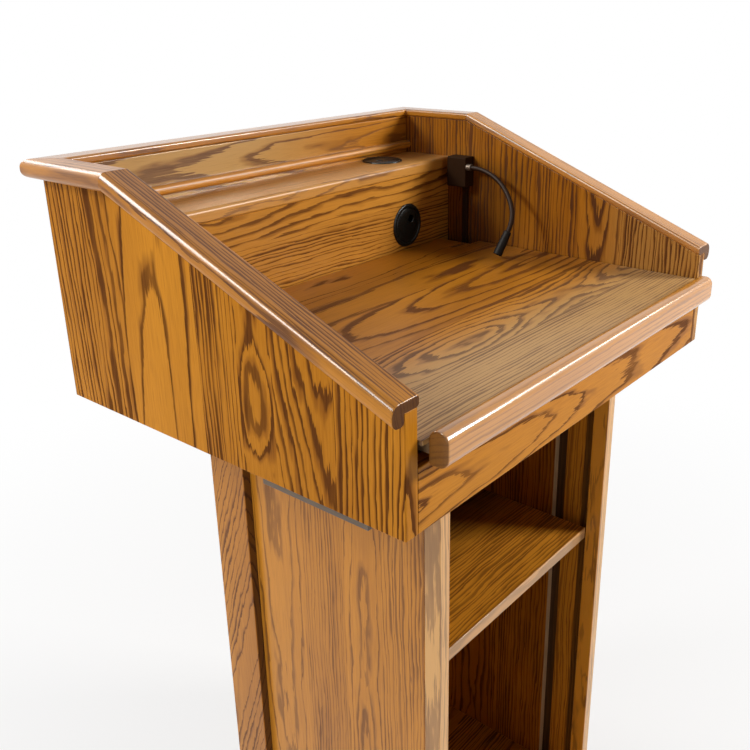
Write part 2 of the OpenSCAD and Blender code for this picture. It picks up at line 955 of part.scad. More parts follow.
module corner_post() {
    color(oak) block([ped_inner_x, post_y, base_top], [post_outer_x, ped_back_y, head_base_height]);
}

module left_corner_post() {
    mirror([1, 0, 0]) corner_post();
}

module right_corner_post() {
    corner_post();
}

module back_panel() {
    color(oak_dark) block([-ped_inner_x, back_panel_y, base_top], [ped_inner_x, back_face_y, head_base_height]);
}

module pedestal_top() {
    color(oak_dark) at_head() difference() {
        block([-ped_inner_x, recess_y, -board], [ped_inner_x, back_panel_y, 0]);
        bolt_places() translate([0, 0, -board - 1]) cylinder(h = board + 2, r = bolt_radius + screw_fit);
    }
}

module middle_shelf() {
    color(oak) block([-ped_inner_x + middle_shelf_gap, recess_y, shelf_top_z - board],
        [ped_inner_x - middle_shelf_gap, back_panel_y - middle_shelf_gap, shelf_top_z]);
}

module shelf_supports() {
    color(steel) for (s = [0, 1]) mirror([s, 0, 0]) support_places() {
        translate([-support_reach, 0, -3]) rotate([0, 90, 0]) cylinder(h = 2 * support_reach - 1, r = 2.5);
        block([-support_reach, -5, 0], [0, 5, support_drop]);
        block([-1.5, -5, -7], [0, 5, 1]);
    }
}

module pedestal_floor() {
    color(oak) block([-ped_inner_x, recess_y, base_top], [ped_inner_x, back_panel_y, base_top + board]);
}

module base_board() {
    half_w = ped_outer_x + base_side_reach;
    low_y = ped_front_y - base_speaker_reach;
    high_y = ped_back_y + base_audience_reach;
    color(oak) intersection() {
        along_y(low_y, high_y) translate([-half_w, glide_height]) {
            rounded_rect(2 * half_w, base_thickness, 2, 2, base_round, base_round);
        }
        along_x(-half_w, half_w) translate([low_y, glide_height]) {
            rounded_rect(high_y - low_y, base_thickness, 2, 2, base_round, base_round);
        }
    }
}

module glides() {
    glide_x = ped_outer_x + base_side_reach - 45;
    low_y = ped_front_y - base_speaker_reach + 45;
    high_y = ped_back_y + base_audience_reach - 45;
    color(black) for (sx = [-1, 1], y = [low_y, high_y]) translate([sx * glide_x, y, 0]) {
        cylinder(h = glide_height, r1 = glide_radius - 1.5, r2 = glide_radius);
    }
}

left_side_panel();
right_side_panel();
front_panel();
apron();
head_floor();
left_level_cap();
right_level_cap();
left_slope_cap();
right_slope_cap();
front_cap();
equipment_shelf();
shelf_cleats();
riser_panel();
shelf_bead();
left_surface_cleat();
right_surface_cleat();
rear_surface_cleat();
reading_surface();
book_stop();
hinge_upper_leaf();
hinge_lower_leaf();
hinge_pin();
left_quadrant_stay();
right_quadrant_stay();
left_stay_stud();
right_stay_stud();
left_stay_knob();
right_stay_knob();
riser_grommet_liner();
riser_grommet_cap();
shelf_grommet_liner();
shelf_grommet_cap();
lamp_base();
lamp_cable_cover();
lamp_ferrule();
lamp_neck();
lamp_hood();
lamp_lens();
left_rail();
right_rail();
rail_screws();
head_bolts();
left_side_skin();
right_side_skin();
left_front_edging();
right_front_edging();
left_liner();
right_liner();
left_corner_post();
right_corner_post();
back_panel();
pedestal_top();
middle_shelf();
shelf_supports();
pedestal_floor();
base_board();
glides();
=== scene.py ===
import bpy
import math
import numpy as np
from mathutils import Matrix, Vector


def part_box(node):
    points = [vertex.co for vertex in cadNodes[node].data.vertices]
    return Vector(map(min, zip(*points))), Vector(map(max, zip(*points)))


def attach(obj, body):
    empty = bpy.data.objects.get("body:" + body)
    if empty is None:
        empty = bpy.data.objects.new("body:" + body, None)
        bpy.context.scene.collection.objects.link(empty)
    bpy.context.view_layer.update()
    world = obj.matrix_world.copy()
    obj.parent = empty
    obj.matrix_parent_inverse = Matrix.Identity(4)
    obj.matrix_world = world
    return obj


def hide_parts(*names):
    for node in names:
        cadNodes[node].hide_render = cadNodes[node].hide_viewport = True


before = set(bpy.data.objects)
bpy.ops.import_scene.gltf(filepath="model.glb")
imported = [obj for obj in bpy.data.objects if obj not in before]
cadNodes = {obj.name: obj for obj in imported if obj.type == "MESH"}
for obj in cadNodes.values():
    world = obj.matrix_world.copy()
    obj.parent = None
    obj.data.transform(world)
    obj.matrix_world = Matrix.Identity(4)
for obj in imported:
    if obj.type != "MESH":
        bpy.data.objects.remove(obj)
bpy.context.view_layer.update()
x, y, z = (1, 0, 0), (0, 1, 0), (0, 0, 1)
print("stage 1: frame loaded,", len(cadNodes), "parts")


# Meshes

# Quads between rows of points: corner (row, column) joins its neighbours in the next column and row.
def gridFaces(rows, columns, wrapped=True):
    row = np.arange(rows - 1)[:, None]
    column = np.arange(columns if wrapped else columns - 1)[None, :]
    beside = (column + 1) % columns
    quads = np.stack([row * columns + column, row * columns + beside,
                      (row + 1) * columns + beside, (row + 1) * columns + column], -1)
    return quads.reshape(-1, 4).tolist()


def putMesh(name, points, faces, evenNormals=True):
    mesh = bpy.data.meshes.new(name)
    mesh.from_pydata(np.asarray(points, float).reshape(-1, 3).tolist(), [], faces)
    mesh.validate()
    mesh.polygons.foreach_set("use_smooth", np.ones(len(mesh.polygons), bool))
    made = bpy.data.objects.new(name, mesh)
    bpy.context.scene.collection.objects.link(made)
    if evenNormals:                              # flat faces stay flat beside their eased edges
        weighted = made.modifiers.new("even normals", "WEIGHTED_NORMAL")
        weighted.weight = 100
    return made


# Outline with an arc in each corner: the arc's centre lies on the corner's bisector at radius / sin(half angle),
# and its points turn evenly from the foot on one side to the foot on the other.
def roundedOutline(corners, radii, steps=4):
    corner = np.array(corners, float)
    radius = np.broadcast_to(np.array(radii, float), len(corner))[:, None]
    back = np.roll(corner, 1, 0) - corner
    ahead = np.roll(corner, -1, 0) - corner
    back /= np.linalg.norm(back, axis=1, keepdims=True)
    ahead /= np.linalg.norm(ahead, axis=1, keepdims=True)
    half = np.arccos(np.clip((back * ahead).sum(1, keepdims=True), -1, 1)) / 2
    bisector = back + ahead
    bisector /= np.linalg.norm(bisector, axis=1, keepdims=True)
    centre = corner + bisector * radius / np.sin(half)
    first = corner + back * radius / np.tan(half) - centre
    last = corner + ahead * radius / np.tan(half) - centre
    turn = (math.pi - 2 * half)[:, :, None]
    share = np.linspace(0, 1, steps + 1)[None, :, None]
    arc = (np.sin((1 - share) * turn) * first[:, None] + np.sin(share * turn) * last[:, None]) / np.sin(turn)
    return (centre[:, None] + arc).reshape(-1, 2)


# Outline moved inwards: each point goes along the sum of its two side normals over one plus their product,
# so straight sides move square to themselves.
def insetOutline(outline, distance):
    side = np.roll(outline, -1, 0) - outline
    side /= np.maximum(np.linalg.norm(side, axis=1, keepdims=True), 1e-12)
    after = np.stack([-side[:, 1], side[:, 0]], 1)
    before = np.roll(after, 1, 0)
    return outline + distance * (before + after) / (1 + (before * after).sum(1, keepdims=True))


# Board: an outline in (u, v) carried along u x v from one plane to another. Near an end the outline moves in by
# ease * (1 - sin) while it goes along by ease * (1 - cos), a quarter round.
def carryOutline(outline, u, v, origin, fromPlane, toPlane, easeFrom, easeTo, easeSteps=3):
    u, v, origin = (np.array(part, float) for part in (u, v, origin))
    along = np.cross(u, v)
    rings = []
    for plane, ease, sign in ((fromPlane, easeFrom, 1), (toPlane, easeTo, -1)):
        point, normal = (np.array(part, float) for part in plane)
        angles = np.linspace(0, math.pi / 2, easeSteps + 1)[::sign]
        for angle in angles:
            ring = insetOutline(outline, ease * (1 - math.sin(angle)))
            base = origin + ring[:, :1] * u + ring[:, 1:] * v
            reach = ((point - base) @ normal) / (along @ normal)
            rings.append(base + (reach + sign * ease * (1 - math.cos(angle)))[:, None] * along)
    points = np.stack(rings)
    count = len(outline)
    last = (len(rings) - 1) * count
    faces = gridFaces(len(rings), count)
    faces.append(list(range(count))[::-1])
    faces.append(list(range(last, last + count)))
    return points.reshape(-1, 3), faces


def carriedPiece(name, *settings):
    return putMesh(name, *carryOutline(*settings))


# Board whose outline lies in y and z, carried from one place along x to another.
def boardAlongX(name, outline, fromX, toX, *eases):
    return carriedPiece(name, outline, y, z, (0, 0, 0), ((fromX, 0, 0), x), ((toX, 0, 0), x), *eases)


# The four corners of a box seen along its third axis.
def boxCorners(low, high, first, second):
    return [(low[first], low[second]), (high[first], low[second]),
            (high[first], high[second]), (low[first], high[second])]


# Outline of an eased board: its corner arcs are a little larger than the ease, so that they stay open as the
# outline moves in.
def easedOutline(corners, ease):
    return roundedOutline(corners, ease * 1.05, 3)


# Square-edged board with every edge eased, between two corners.
def easedBoard(name, low, high, ease=0.0012):
    return boardAlongX(name, easedOutline(boxCorners(low, high, 1, 2), ease), low[0], high[0], ease, ease)


# Turned shape: each (radius, height) of a profile goes round an axis,
# point = centre + height * axis + radius * (cos * side + sin * other side).
def turnedShape(name, profile, centre, axis, around, ripple=None):
    axis = Vector(axis).normalized()
    side = axis.orthogonal().normalized()
    other = axis.cross(side)
    radius, height = np.array(profile, float).T
    angle = np.linspace(0, 2 * math.pi, around, endpoint=False)
    swell = 1 + (ripple(angle) if ripple else 0 * angle)
    points = (np.array(centre, float) + height[:, None, None] * np.array(axis)
              + radius[:, None, None] * (swell * np.cos(angle))[None, :, None] * np.array(side)
              + radius[:, None, None] * (swell * np.sin(angle))[None, :, None] * np.array(other))
    return putMesh(name, points, closePoles(gridFaces(len(radius), around), radius, around))


# A row whose radius is nought is one point: its quads become triangles on the row's first point.
def closePoles(faces, radius, around):
    faces = np.array(faces)
    rows = faces // around
    pole = np.isclose(radius, 0)[rows]
    faces = np.where(pole, rows * around, faces)
    return [list(dict.fromkeys(face)) for face in faces.tolist()]


# One mesh of several shells, each given as its points and its faces.
def joinShells(name, shells):
    starts = np.cumsum([0] + [len(points) for points, _ in shells]).tolist()
    faces = [[corner + start for corner in face] for (_, shell), start in zip(shells, starts) for face in shell]
    return putMesh(name, np.concatenate([points for points, _ in shells]), faces)


# Materials

# Each input of a node gets a link where a socket is given for it, and the plain value otherwise.
def feed(node, values):
    for socket, value in values.items():
        if isinstance(value, bpy.types.NodeSocket):
            node.id_data.links.new(value, node.inputs[socket])
        else:
            node.inputs[socket].default_value = value


# New node, in the tree of the sockets that it is given where no tree is named.
def addNode(kind, values=None, tree=None, **settings):
    values = values or {}
    tree = tree or next(value.id_data for value in values.values() if isinstance(value, bpy.types.NodeSocket))
    made = tree.nodes.new(kind)
    for key, value in settings.items():
        setattr(made, key, value)
    feed(made, values)
    return made


def calc(operation, *values, clamped=False):
    return addNode("ShaderNodeMath", dict(enumerate(values)), operation=operation, use_clamp=clamped).outputs[0]


def plus(first, second):
    return calc("ADD", first, second)


def less(first, second):
    return calc("SUBTRACT", first, second)


def times(first, second, **more):
    return calc("MULTIPLY", first, second, **more)


def timesPlus(first, second, third, **more):
    return calc("MULTIPLY_ADD", first, second, third, **more)


def scaled(vector, factors):
    return addNode("ShaderNodeVectorMath", {0: vector, 1: factors}, operation="MULTIPLY").outputs[0]


def noiseOf(vector, factors, detail=2.0, roughness=0.5):
    return addNode("ShaderNodeTexNoise", {"Vector": scaled(vector, factors), "Scale": 1.0, "Detail": detail,
                                          "Roughness": roughness}).outputs[0]


# Noise about nought, times a size.
def sway(vector, factors, size, detail=1.0):
    return times(less(noiseOf(vector, factors, detail), 0.5), size)


def remap(value, fromLow, fromHigh, toLow=0.0, toHigh=1.0, smooth=True):
    values = {"Value": value, "From Min": fromLow, "From Max": fromHigh, "To Min": toLow, "To Max": toHigh}
    return addNode("ShaderNodeMapRange", values, interpolation_type="SMOOTHSTEP" if smooth else "LINEAR").outputs[0]


def mixColour(factor, first, second):
    return addNode("ShaderNodeMix", {0: factor, 6: first, 7: second}, data_type="RGBA").outputs[2]


def emptyTree(owner):
    owner.use_nodes = True
    owner.node_tree.nodes.clear()
    return owner.node_tree


def newMaterial(name):
    material = bpy.data.materials.new(name)
    tree = emptyTree(material)
    shader = addNode("ShaderNodeBsdfPrincipled", tree=tree)
    addNode("ShaderNodeOutputMaterial", {0: shader.outputs[0]})
    return material, tree, shader


# Colours and gloss of the stained, lacquered oak. The tints are painted light and shade. The tint of painted
# sheen and light and the tint of faces painted as lit change the ground under the grain; the tint of painted sheen
# and edge highlights and the tint of painted shade go over everything.
oakLook = {
    "goldDeep": (0.32, 0.106, 0.003, 1), "goldPale": (0.59, 0.236, 0.018, 1),  # the ground
    "middle": (0.185, 0.053, 0.002, 1), "dark": (0.092, 0.025, 0.001, 1),      # brown band, porous line
    "endGrain": (0.066, 0.024, 0.008, 1),
    # tints in order: painted sheen and light, faces painted as lit; then painted sheen and edge highlights, painted
    # shade
    "pale": (0.52, 0.3, 0.09, 1), "paintedLitFace": (0.66, 0.36, 0.115, 1),
    "paintedSheen": (0.48, 0.33, 0.19, 1), "pooled": (0.012, 0.0042, 0.0016, 1),
    "groundTints": ("pale", "paintedLitFace"),
    "gloss": 0.36, "poreGloss": 0.65, "specular": 0.22, "poreDent": 0.22, "poreDepth": 0.0005,
}

# A strip of a glued-up board. Its growth rings are cylinders about a pith line that runs nearly along the grain. Its
# numbers are, in order: where the strip starts across the board, the pith line's place across, how far it lies off the
# face, its slant, where along the board that holds, how much it bows, the ring gap, the lean of the lines, the strip's
# tone, how wide its dark grain is, the period of the bow, how far the lines wander, and where the first ring is. The
# table has each number's usual value, its lowest and its range.
stripTable = {"pith": (0.0, -1.0, 2.0), "depth": (0.03, 0.0, 0.25), "slant": (0.0, -0.5, 1.0),
              "near": (0.0, -1.5, 3.0), "bow": (0.001, 0.0, 0.06), "gap": (0.0065, 0.0, 0.02),
              "lean": (0.0, -0.5, 1.0), "tone": (0.5, 0.0, 1.0), "dark": (1.0, 0.0, 2.0), "period": (0.34, 0.0, 2.0),
              "wander": (1.0, 0.0, 3.0), "first": (0.0, 0.0, 1.0)}


def strip(start, *inOrder, **named):
    usual = {key: one[0] for key, one in stripTable.items()}
    return {"start": start, **usual, **dict(zip(usual, inOrder)), **named}


# Strips for a board that no one looks at closely: plain-sawn and straight ones by turns, drawn from a seed.
def anyStrips(start, end, seed, width=0.09):
    draw = np.random.default_rng(seed)
    made, at = [], start
    while at < end:
        wide = width * draw.uniform(0.7, 1.3)
        if draw.random() < 0.45:
            made.append(strip(at, at + wide / 2, draw.uniform(0.03, 0.06), draw.uniform(-0.05, 0.05),
                              draw.uniform(-0.3, 0.3), draw.uniform(0.001, 0.006), 0.0085, 0,
                              draw.uniform(0.4, 0.7), 1.0, draw.uniform(0.2, 0.5)))
        else:
            made.append(strip(at, at - draw.uniform(0.1, 0.2), 0.04, draw.uniform(-0.02, 0.02), 0, 0.001,
                              draw.uniform(0.0055, 0.0075), draw.uniform(-0.03, 0.03), draw.uniform(0.3, 0.6)))
        at += wide
    return made


# Amount of a tint of painted light and shade inside a box, falling to nought over the fade outside it, which may
# differ along x, y and z. A box whose low x isn't under nought stands on both sides of the middle.
def inBox(place, low, high, amount, fade):
    parts = addNode("ShaderNodeSeparateXYZ", {0: place}).outputs
    aside = calc("ABSOLUTE", parts[0]) if low[0] >= 0 else parts[0]
    outside = 0.0
    for socket, least, most, soft in zip((aside, parts[1], parts[2]), low, high, np.broadcast_to(fade, 3).tolist()):
        offset = calc("ABSOLUTE", less(socket, (least + most) / 2))
        beyond = calc("DIVIDE", less(offset, (most - least) / 2), soft)
        outside = calc("MAXIMUM", beyond, outside)
    return remap(outside, 0.0, 1.0, amount, 0.0)


# The grain. Scales are cycles of noise to the metre along, across and through the board, sizes and widths are metres,
# a pair is the least and what chance adds, or where a fade begins and ends.
grain = {
    "drift": (2.6, 7.0, 7.0), "driftSize": 0.02,          # the pith line wanders across the board
    "dive": (3.5, 14.0, 14.0), "diveSize": 0.006,         # and through it
    "bend": (9.0, 40.0, 40.0), "bendSize": 0.0085,        # the rings bend, slowly and quickly
    "ripple": (24.0, 120.0, 120.0), "rippleSize": 0.004,
    "streak": (15.0, 400.0, 400.0), "streakSize": 0.0014, "streakTone": 0.42,
    "unevenGaps": 0.7,
    "patch": (7.0, 34.0, 34.0), "patchWidth": (0.55, 1.4),  # lines swell and thin along their way
    "lineWidth": (0.0017, 0.0016), "lineStrength": (0.72, 0.4),
    "coreFade": (0.6, 1.6), "coreFray": 0.75,             # in widths of the line
    "bandFade": 2.2, "bandFray": 0.9,
    "pores": (24.0, 1200.0, 1200.0), "openPores": (0.38, 0.62), "loosePores": (0.56, 0.72), "looseShare": 0.32,
    "cloud": (1.8, 10.0, 10.0), "cloudTone": 1.1,         # slow changes of the ground
    "apart": 31.0, "lots": 57.0,                          # keep the strips' noise and chances unlike
}


# Numbers of the strip under a point, by its place across the board. A colour ramp of constant steps holds three
# numbers of each strip, squeezed into 0 to 1 by its range, and here they are stretched again.
def stripNumbers(across, strips):
    start = strips[0]["start"]
    span = max(strips[-1]["start"] - start, 0.001) * 1.25
    spread = remap(across, start, start + span, smooth=False)
    keys = list(stripTable)
    of = {}
    for third in range(0, len(keys), 3):
        group = keys[third:third + 3]
        ramp = addNode("ShaderNodeValToRGB", {0: spread})
        band = ramp.color_ramp
        band.interpolation = "CONSTANT"
        for index, one in enumerate(strips):
            at = min(max((one["start"] - start) / span, 0.0), 1.0)
            stop = band.elements[0] if index == 0 else band.elements.new(at)
            stop.position = at
            stop.color = [(one[key] - stripTable[key][1]) / stripTable[key][2] for key in group] + [1.0]
        band.elements.remove(band.elements[-1])
        split = addNode("ShaderNodeSeparateColor", {0: ramp.outputs[0]}).outputs
        for key, socket in zip(group, split):
            of[key] = timesPlus(socket, *stripTable[key][:0:-1])
    return of


# How many ring gaps a point lies from its strip's pith line, a being measured from near along the grain:
# sqrt((b - pith + lean * a)^2 + (depth + slant * a - bow * cos(2 pi a / period) - c)^2) / gap + first. Slow noise
# makes each term wander.
def ringCount(board, of, perStrip, shifted, offStreak):
    fromNear = less(board[0], of["near"])
    sideways = timesPlus(of["lean"], fromNear, less(board[1], of["pith"]))
    sideways = timesPlus(of["wander"], sway(perStrip, grain["drift"], grain["driftSize"], 1.5), sideways)
    wave = calc("COSINE", calc("DIVIDE", times(fromNear, 2 * math.pi), of["period"]))
    deep = timesPlus(of["slant"], fromNear, of["depth"])
    deep = less(less(deep, times(of["bow"], wave)), board[2])
    deep = timesPlus(of["wander"], sway(perStrip, grain["dive"], grain["diveSize"], 1.5), deep)
    ring = calc("SQRT", plus(times(sideways, sideways), times(deep, deep)))
    bends = plus(sway(perStrip, grain["bend"], grain["bendSize"]),
                 sway(shifted, grain["ripple"], grain["rippleSize"]))
    ring = timesPlus(offStreak, grain["streakSize"], timesPlus(of["wander"], bends, ring))
    count = plus(calc("DIVIDE", ring, of["gap"]), of["first"])
    lots = timesPlus(of["pith"], grain["lots"], times(count, 0.9))
    uneven = addNode("ShaderNodeTexNoise", {"W": lots, "Scale": 1.0, "Detail": 0.0},
                     noise_dimensions="1D").outputs[0]
    return timesPlus(less(uneven, 0.5), grain["unevenGaps"], count)


# Shares of the dark porous line and of the brown band about it. Both rise sharply where a ring starts and fade after
# the line's width, and fine noise, long along the grain, frays them.
def ringLines(part, width, strength, offStreak, pores):
    def widths(factor):
        return times(width, factor)

    rise = remap(part, 0.0, widths(0.5))
    core = times(rise, remap(part, *map(widths, grain["coreFade"]), 1.0, 0.0))
    frayed = timesPlus(offStreak, grain["coreFray"], core)
    core = times(remap(frayed, 0.3, 0.8), strength)
    openPores = remap(pores, *grain["openPores"])
    core = times(core, timesPlus(openPores, 0.3, 0.8))
    band = times(rise, remap(part, width, widths(grain["bandFade"]), 1.0, 0.0))
    frayed = timesPlus(offStreak, grain["bandFray"], band)
    band = times(remap(frayed, 0.2, 1.0), timesPlus(strength, 0.55, 0.15))
    loose = times(remap(pores, *grain["loosePores"]), grain["looseShare"])
    return core, calc("MAXIMUM", band, loose)


# Oak in board coordinates: a along the grain, b across, c out of the face. The rings about the pith line are cut
# into a dark line, a brown band and gold. Tone moves the gold between deep and pale, darkness weighs the lines; coat,
# polish and lacquer are the clear coat's weight, roughness and refraction, sheen weighs the gloss under it, and ends
# is how dark the end grain is. The last argument lists the boxes of painted light and shade: low and high corner,
# tint, amount and fade.
def makeOak(name, along, across, origin, strips, seed=0.0, tone=0.0, darkness=1.0, coat=0.15, sheen=1.0,
            polish=0.16, lacquer=1.5, ends=0.93, pooled=()):
    material, tree, shader = newMaterial(name)
    a, b = Vector(along).normalized(), Vector(across).normalized()
    turn = Matrix((a, b, a.cross(b)))
    where = addNode("ShaderNodeTexCoord", tree=tree).outputs
    place = addNode("ShaderNodeMapping", {"Vector": where["Object"], "Location": -(turn @ Vector(origin)),
                                          "Rotation": turn.to_euler()}, vector_type="POINT").outputs[0]
    board = addNode("ShaderNodeSeparateXYZ", {0: place}).outputs
    of = stripNumbers(board[1], strips)
    shifted = addNode("ShaderNodeVectorMath", {0: place, 1: (seed, seed * 1.7, seed * 0.6)},
                      operation="ADD").outputs[0]
    moved = addNode("ShaderNodeSeparateXYZ", {0: shifted}).outputs
    perStrip = addNode("ShaderNodeCombineXYZ", {
        0: timesPlus(of["pith"], grain["apart"], moved[0]), 1: moved[1], 2: moved[2]}).outputs[0]
    streak = remap(noiseOf(shifted, grain["streak"], 3.0, 0.62), 0.3, 0.7, smooth=False)
    offStreak = less(streak, 0.5)
    pores = noiseOf(shifted, grain["pores"], 1.0)
    count = ringCount(board, of, perStrip, shifted, offStreak)
    whole = calc("FLOOR", count)
    part = less(count, whole)
    drawn = addNode("ShaderNodeTexWhiteNoise", {"W": timesPlus(of["pith"], grain["lots"], whole)},
                    noise_dimensions="1D").outputs["Color"]
    lots = addNode("ShaderNodeSeparateColor", {0: drawn}).outputs
    patchy = remap(noiseOf(perStrip, grain["patch"]), 0.33, 0.67, *grain["patchWidth"])
    width = times(times(timesPlus(lots[0], *grain["lineWidth"][::-1]), of["dark"]), patchy)
    width = calc("DIVIDE", width, of["gap"])
    strength = timesPlus(lots[1], *grain["lineStrength"][::-1])
    strength = times(strength, timesPlus(patchy, 0.45, 0.5), clamped=True)
    core, band = ringLines(part, width, strength, offStreak, pores)
    dark = times(core, darkness, clamped=True)

    cloud = less(noiseOf(perStrip, grain["cloud"]), 0.5)
    light = plus(timesPlus(cloud, grain["cloudTone"], of["tone"]), tone)
    light = timesPlus(offStreak, grain["streakTone"], light, clamped=True)
    # shares of the painted light and shade, each in its box
    paintedShares = [(tint, inBox(where["Object"], low, high, amount, fade)) for low, high, tint, amount, fade in pooled]
    colour = mixColour(light, oakLook["goldDeep"], oakLook["goldPale"])
    # painted sheen and faces painted as lit change the ground under the grain
    for tint, share in paintedShares:
        if tint in oakLook["groundTints"]:
            colour = mixColour(share, colour, oakLook[tint])
    colour = mixColour(times(band, darkness, clamped=True), colour, oakLook["middle"])
    colour = mixColour(dark, colour, oakLook["dark"])
    lie = addNode("ShaderNodeVectorMath", {0: where["Normal"], 1: tuple(a)}, operation="DOT_PRODUCT")
    endGrain = remap(calc("ABSOLUTE", lie.outputs["Value"]), 0.62, 0.95)
    colour = mixColour(endGrain, colour, mixColour(ends, colour, oakLook["endGrain"]))
    # painted sheen, edge highlights and painted shade go over everything
    for tint, share in paintedShares:
        if tint not in oakLook["groundTints"]:
            colour = mixColour(share, colour, oakLook[tint])
    dent = addNode("ShaderNodeBump", {"Strength": oakLook["poreDent"], "Distance": oakLook["poreDepth"],
                                      "Height": less(1.0, dark)}).outputs[0]
    gloss = remap(calc("MAXIMUM", dark, endGrain), 0.1, 0.9, oakLook["gloss"], oakLook["poreGloss"])
    feed(shader, {"Base Color": colour, "Roughness": gloss, "Normal": dent,
                  "Specular IOR Level": oakLook["specular"] * sheen, "Coat Roughness": polish, "Coat IOR": lacquer,
                  "Coat Weight": remap(endGrain, 0.0, 1.0, coat, coat * 0.12)})
    return material


# Fine-grained finish for plastics and metals: a speck or brush pattern moves the colour, gloss and height a little.
def makePlain(name, colour, roughness, metallic=0.0, stretch=(900, 900, 900), variation=0.12, bump=0.15,
              specular=0.5):
    material, tree, shader = newMaterial(name)
    where = addNode("ShaderNodeTexCoord", tree=tree).outputs["Object"]
    speck = noiseOf(where, stretch, 2.0, 0.6)
    patch = noiseOf(where, (24, 24, 24))
    both = timesPlus(patch, 0.5, times(speck, 0.5))
    low = tuple(value * (1 - variation) for value in colour) + (1,)
    high = tuple(min(value * (1 + variation), 1) for value in colour) + (1,)
    gloss = remap(both, 0.2, 0.8, roughness * 0.85, min(roughness * 1.15, 1))
    dent = addNode("ShaderNodeBump", {"Strength": bump, "Distance": 0.0004, "Height": speck}).outputs[0]
    feed(shader, {"Base Color": mixColour(both, low, high), "Roughness": gloss, "Normal": dent,
                  "Metallic": metallic, "Specular IOR Level": specular})
    return material


headZ = 0.89                                     # underside of the head above the floor
headY = 0.005                                    # middle of the head's depth
capZ = headZ + 0.331                             # top of the level capping

slope = math.radians(21.6)
downSlope = (0, math.cos(slope), math.sin(slope))
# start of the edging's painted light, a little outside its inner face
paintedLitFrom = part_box("right_front_edging")[0][0] + 0.0025
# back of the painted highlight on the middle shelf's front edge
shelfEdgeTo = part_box("middle_shelf")[0][1] + 0.0006


# A board: directions along and across its grain, a point of its face, a seed, and its look.
def wood(along, across, origin, seed, **look):
    return dict(look, along=along, across=across, origin=origin, seed=seed)


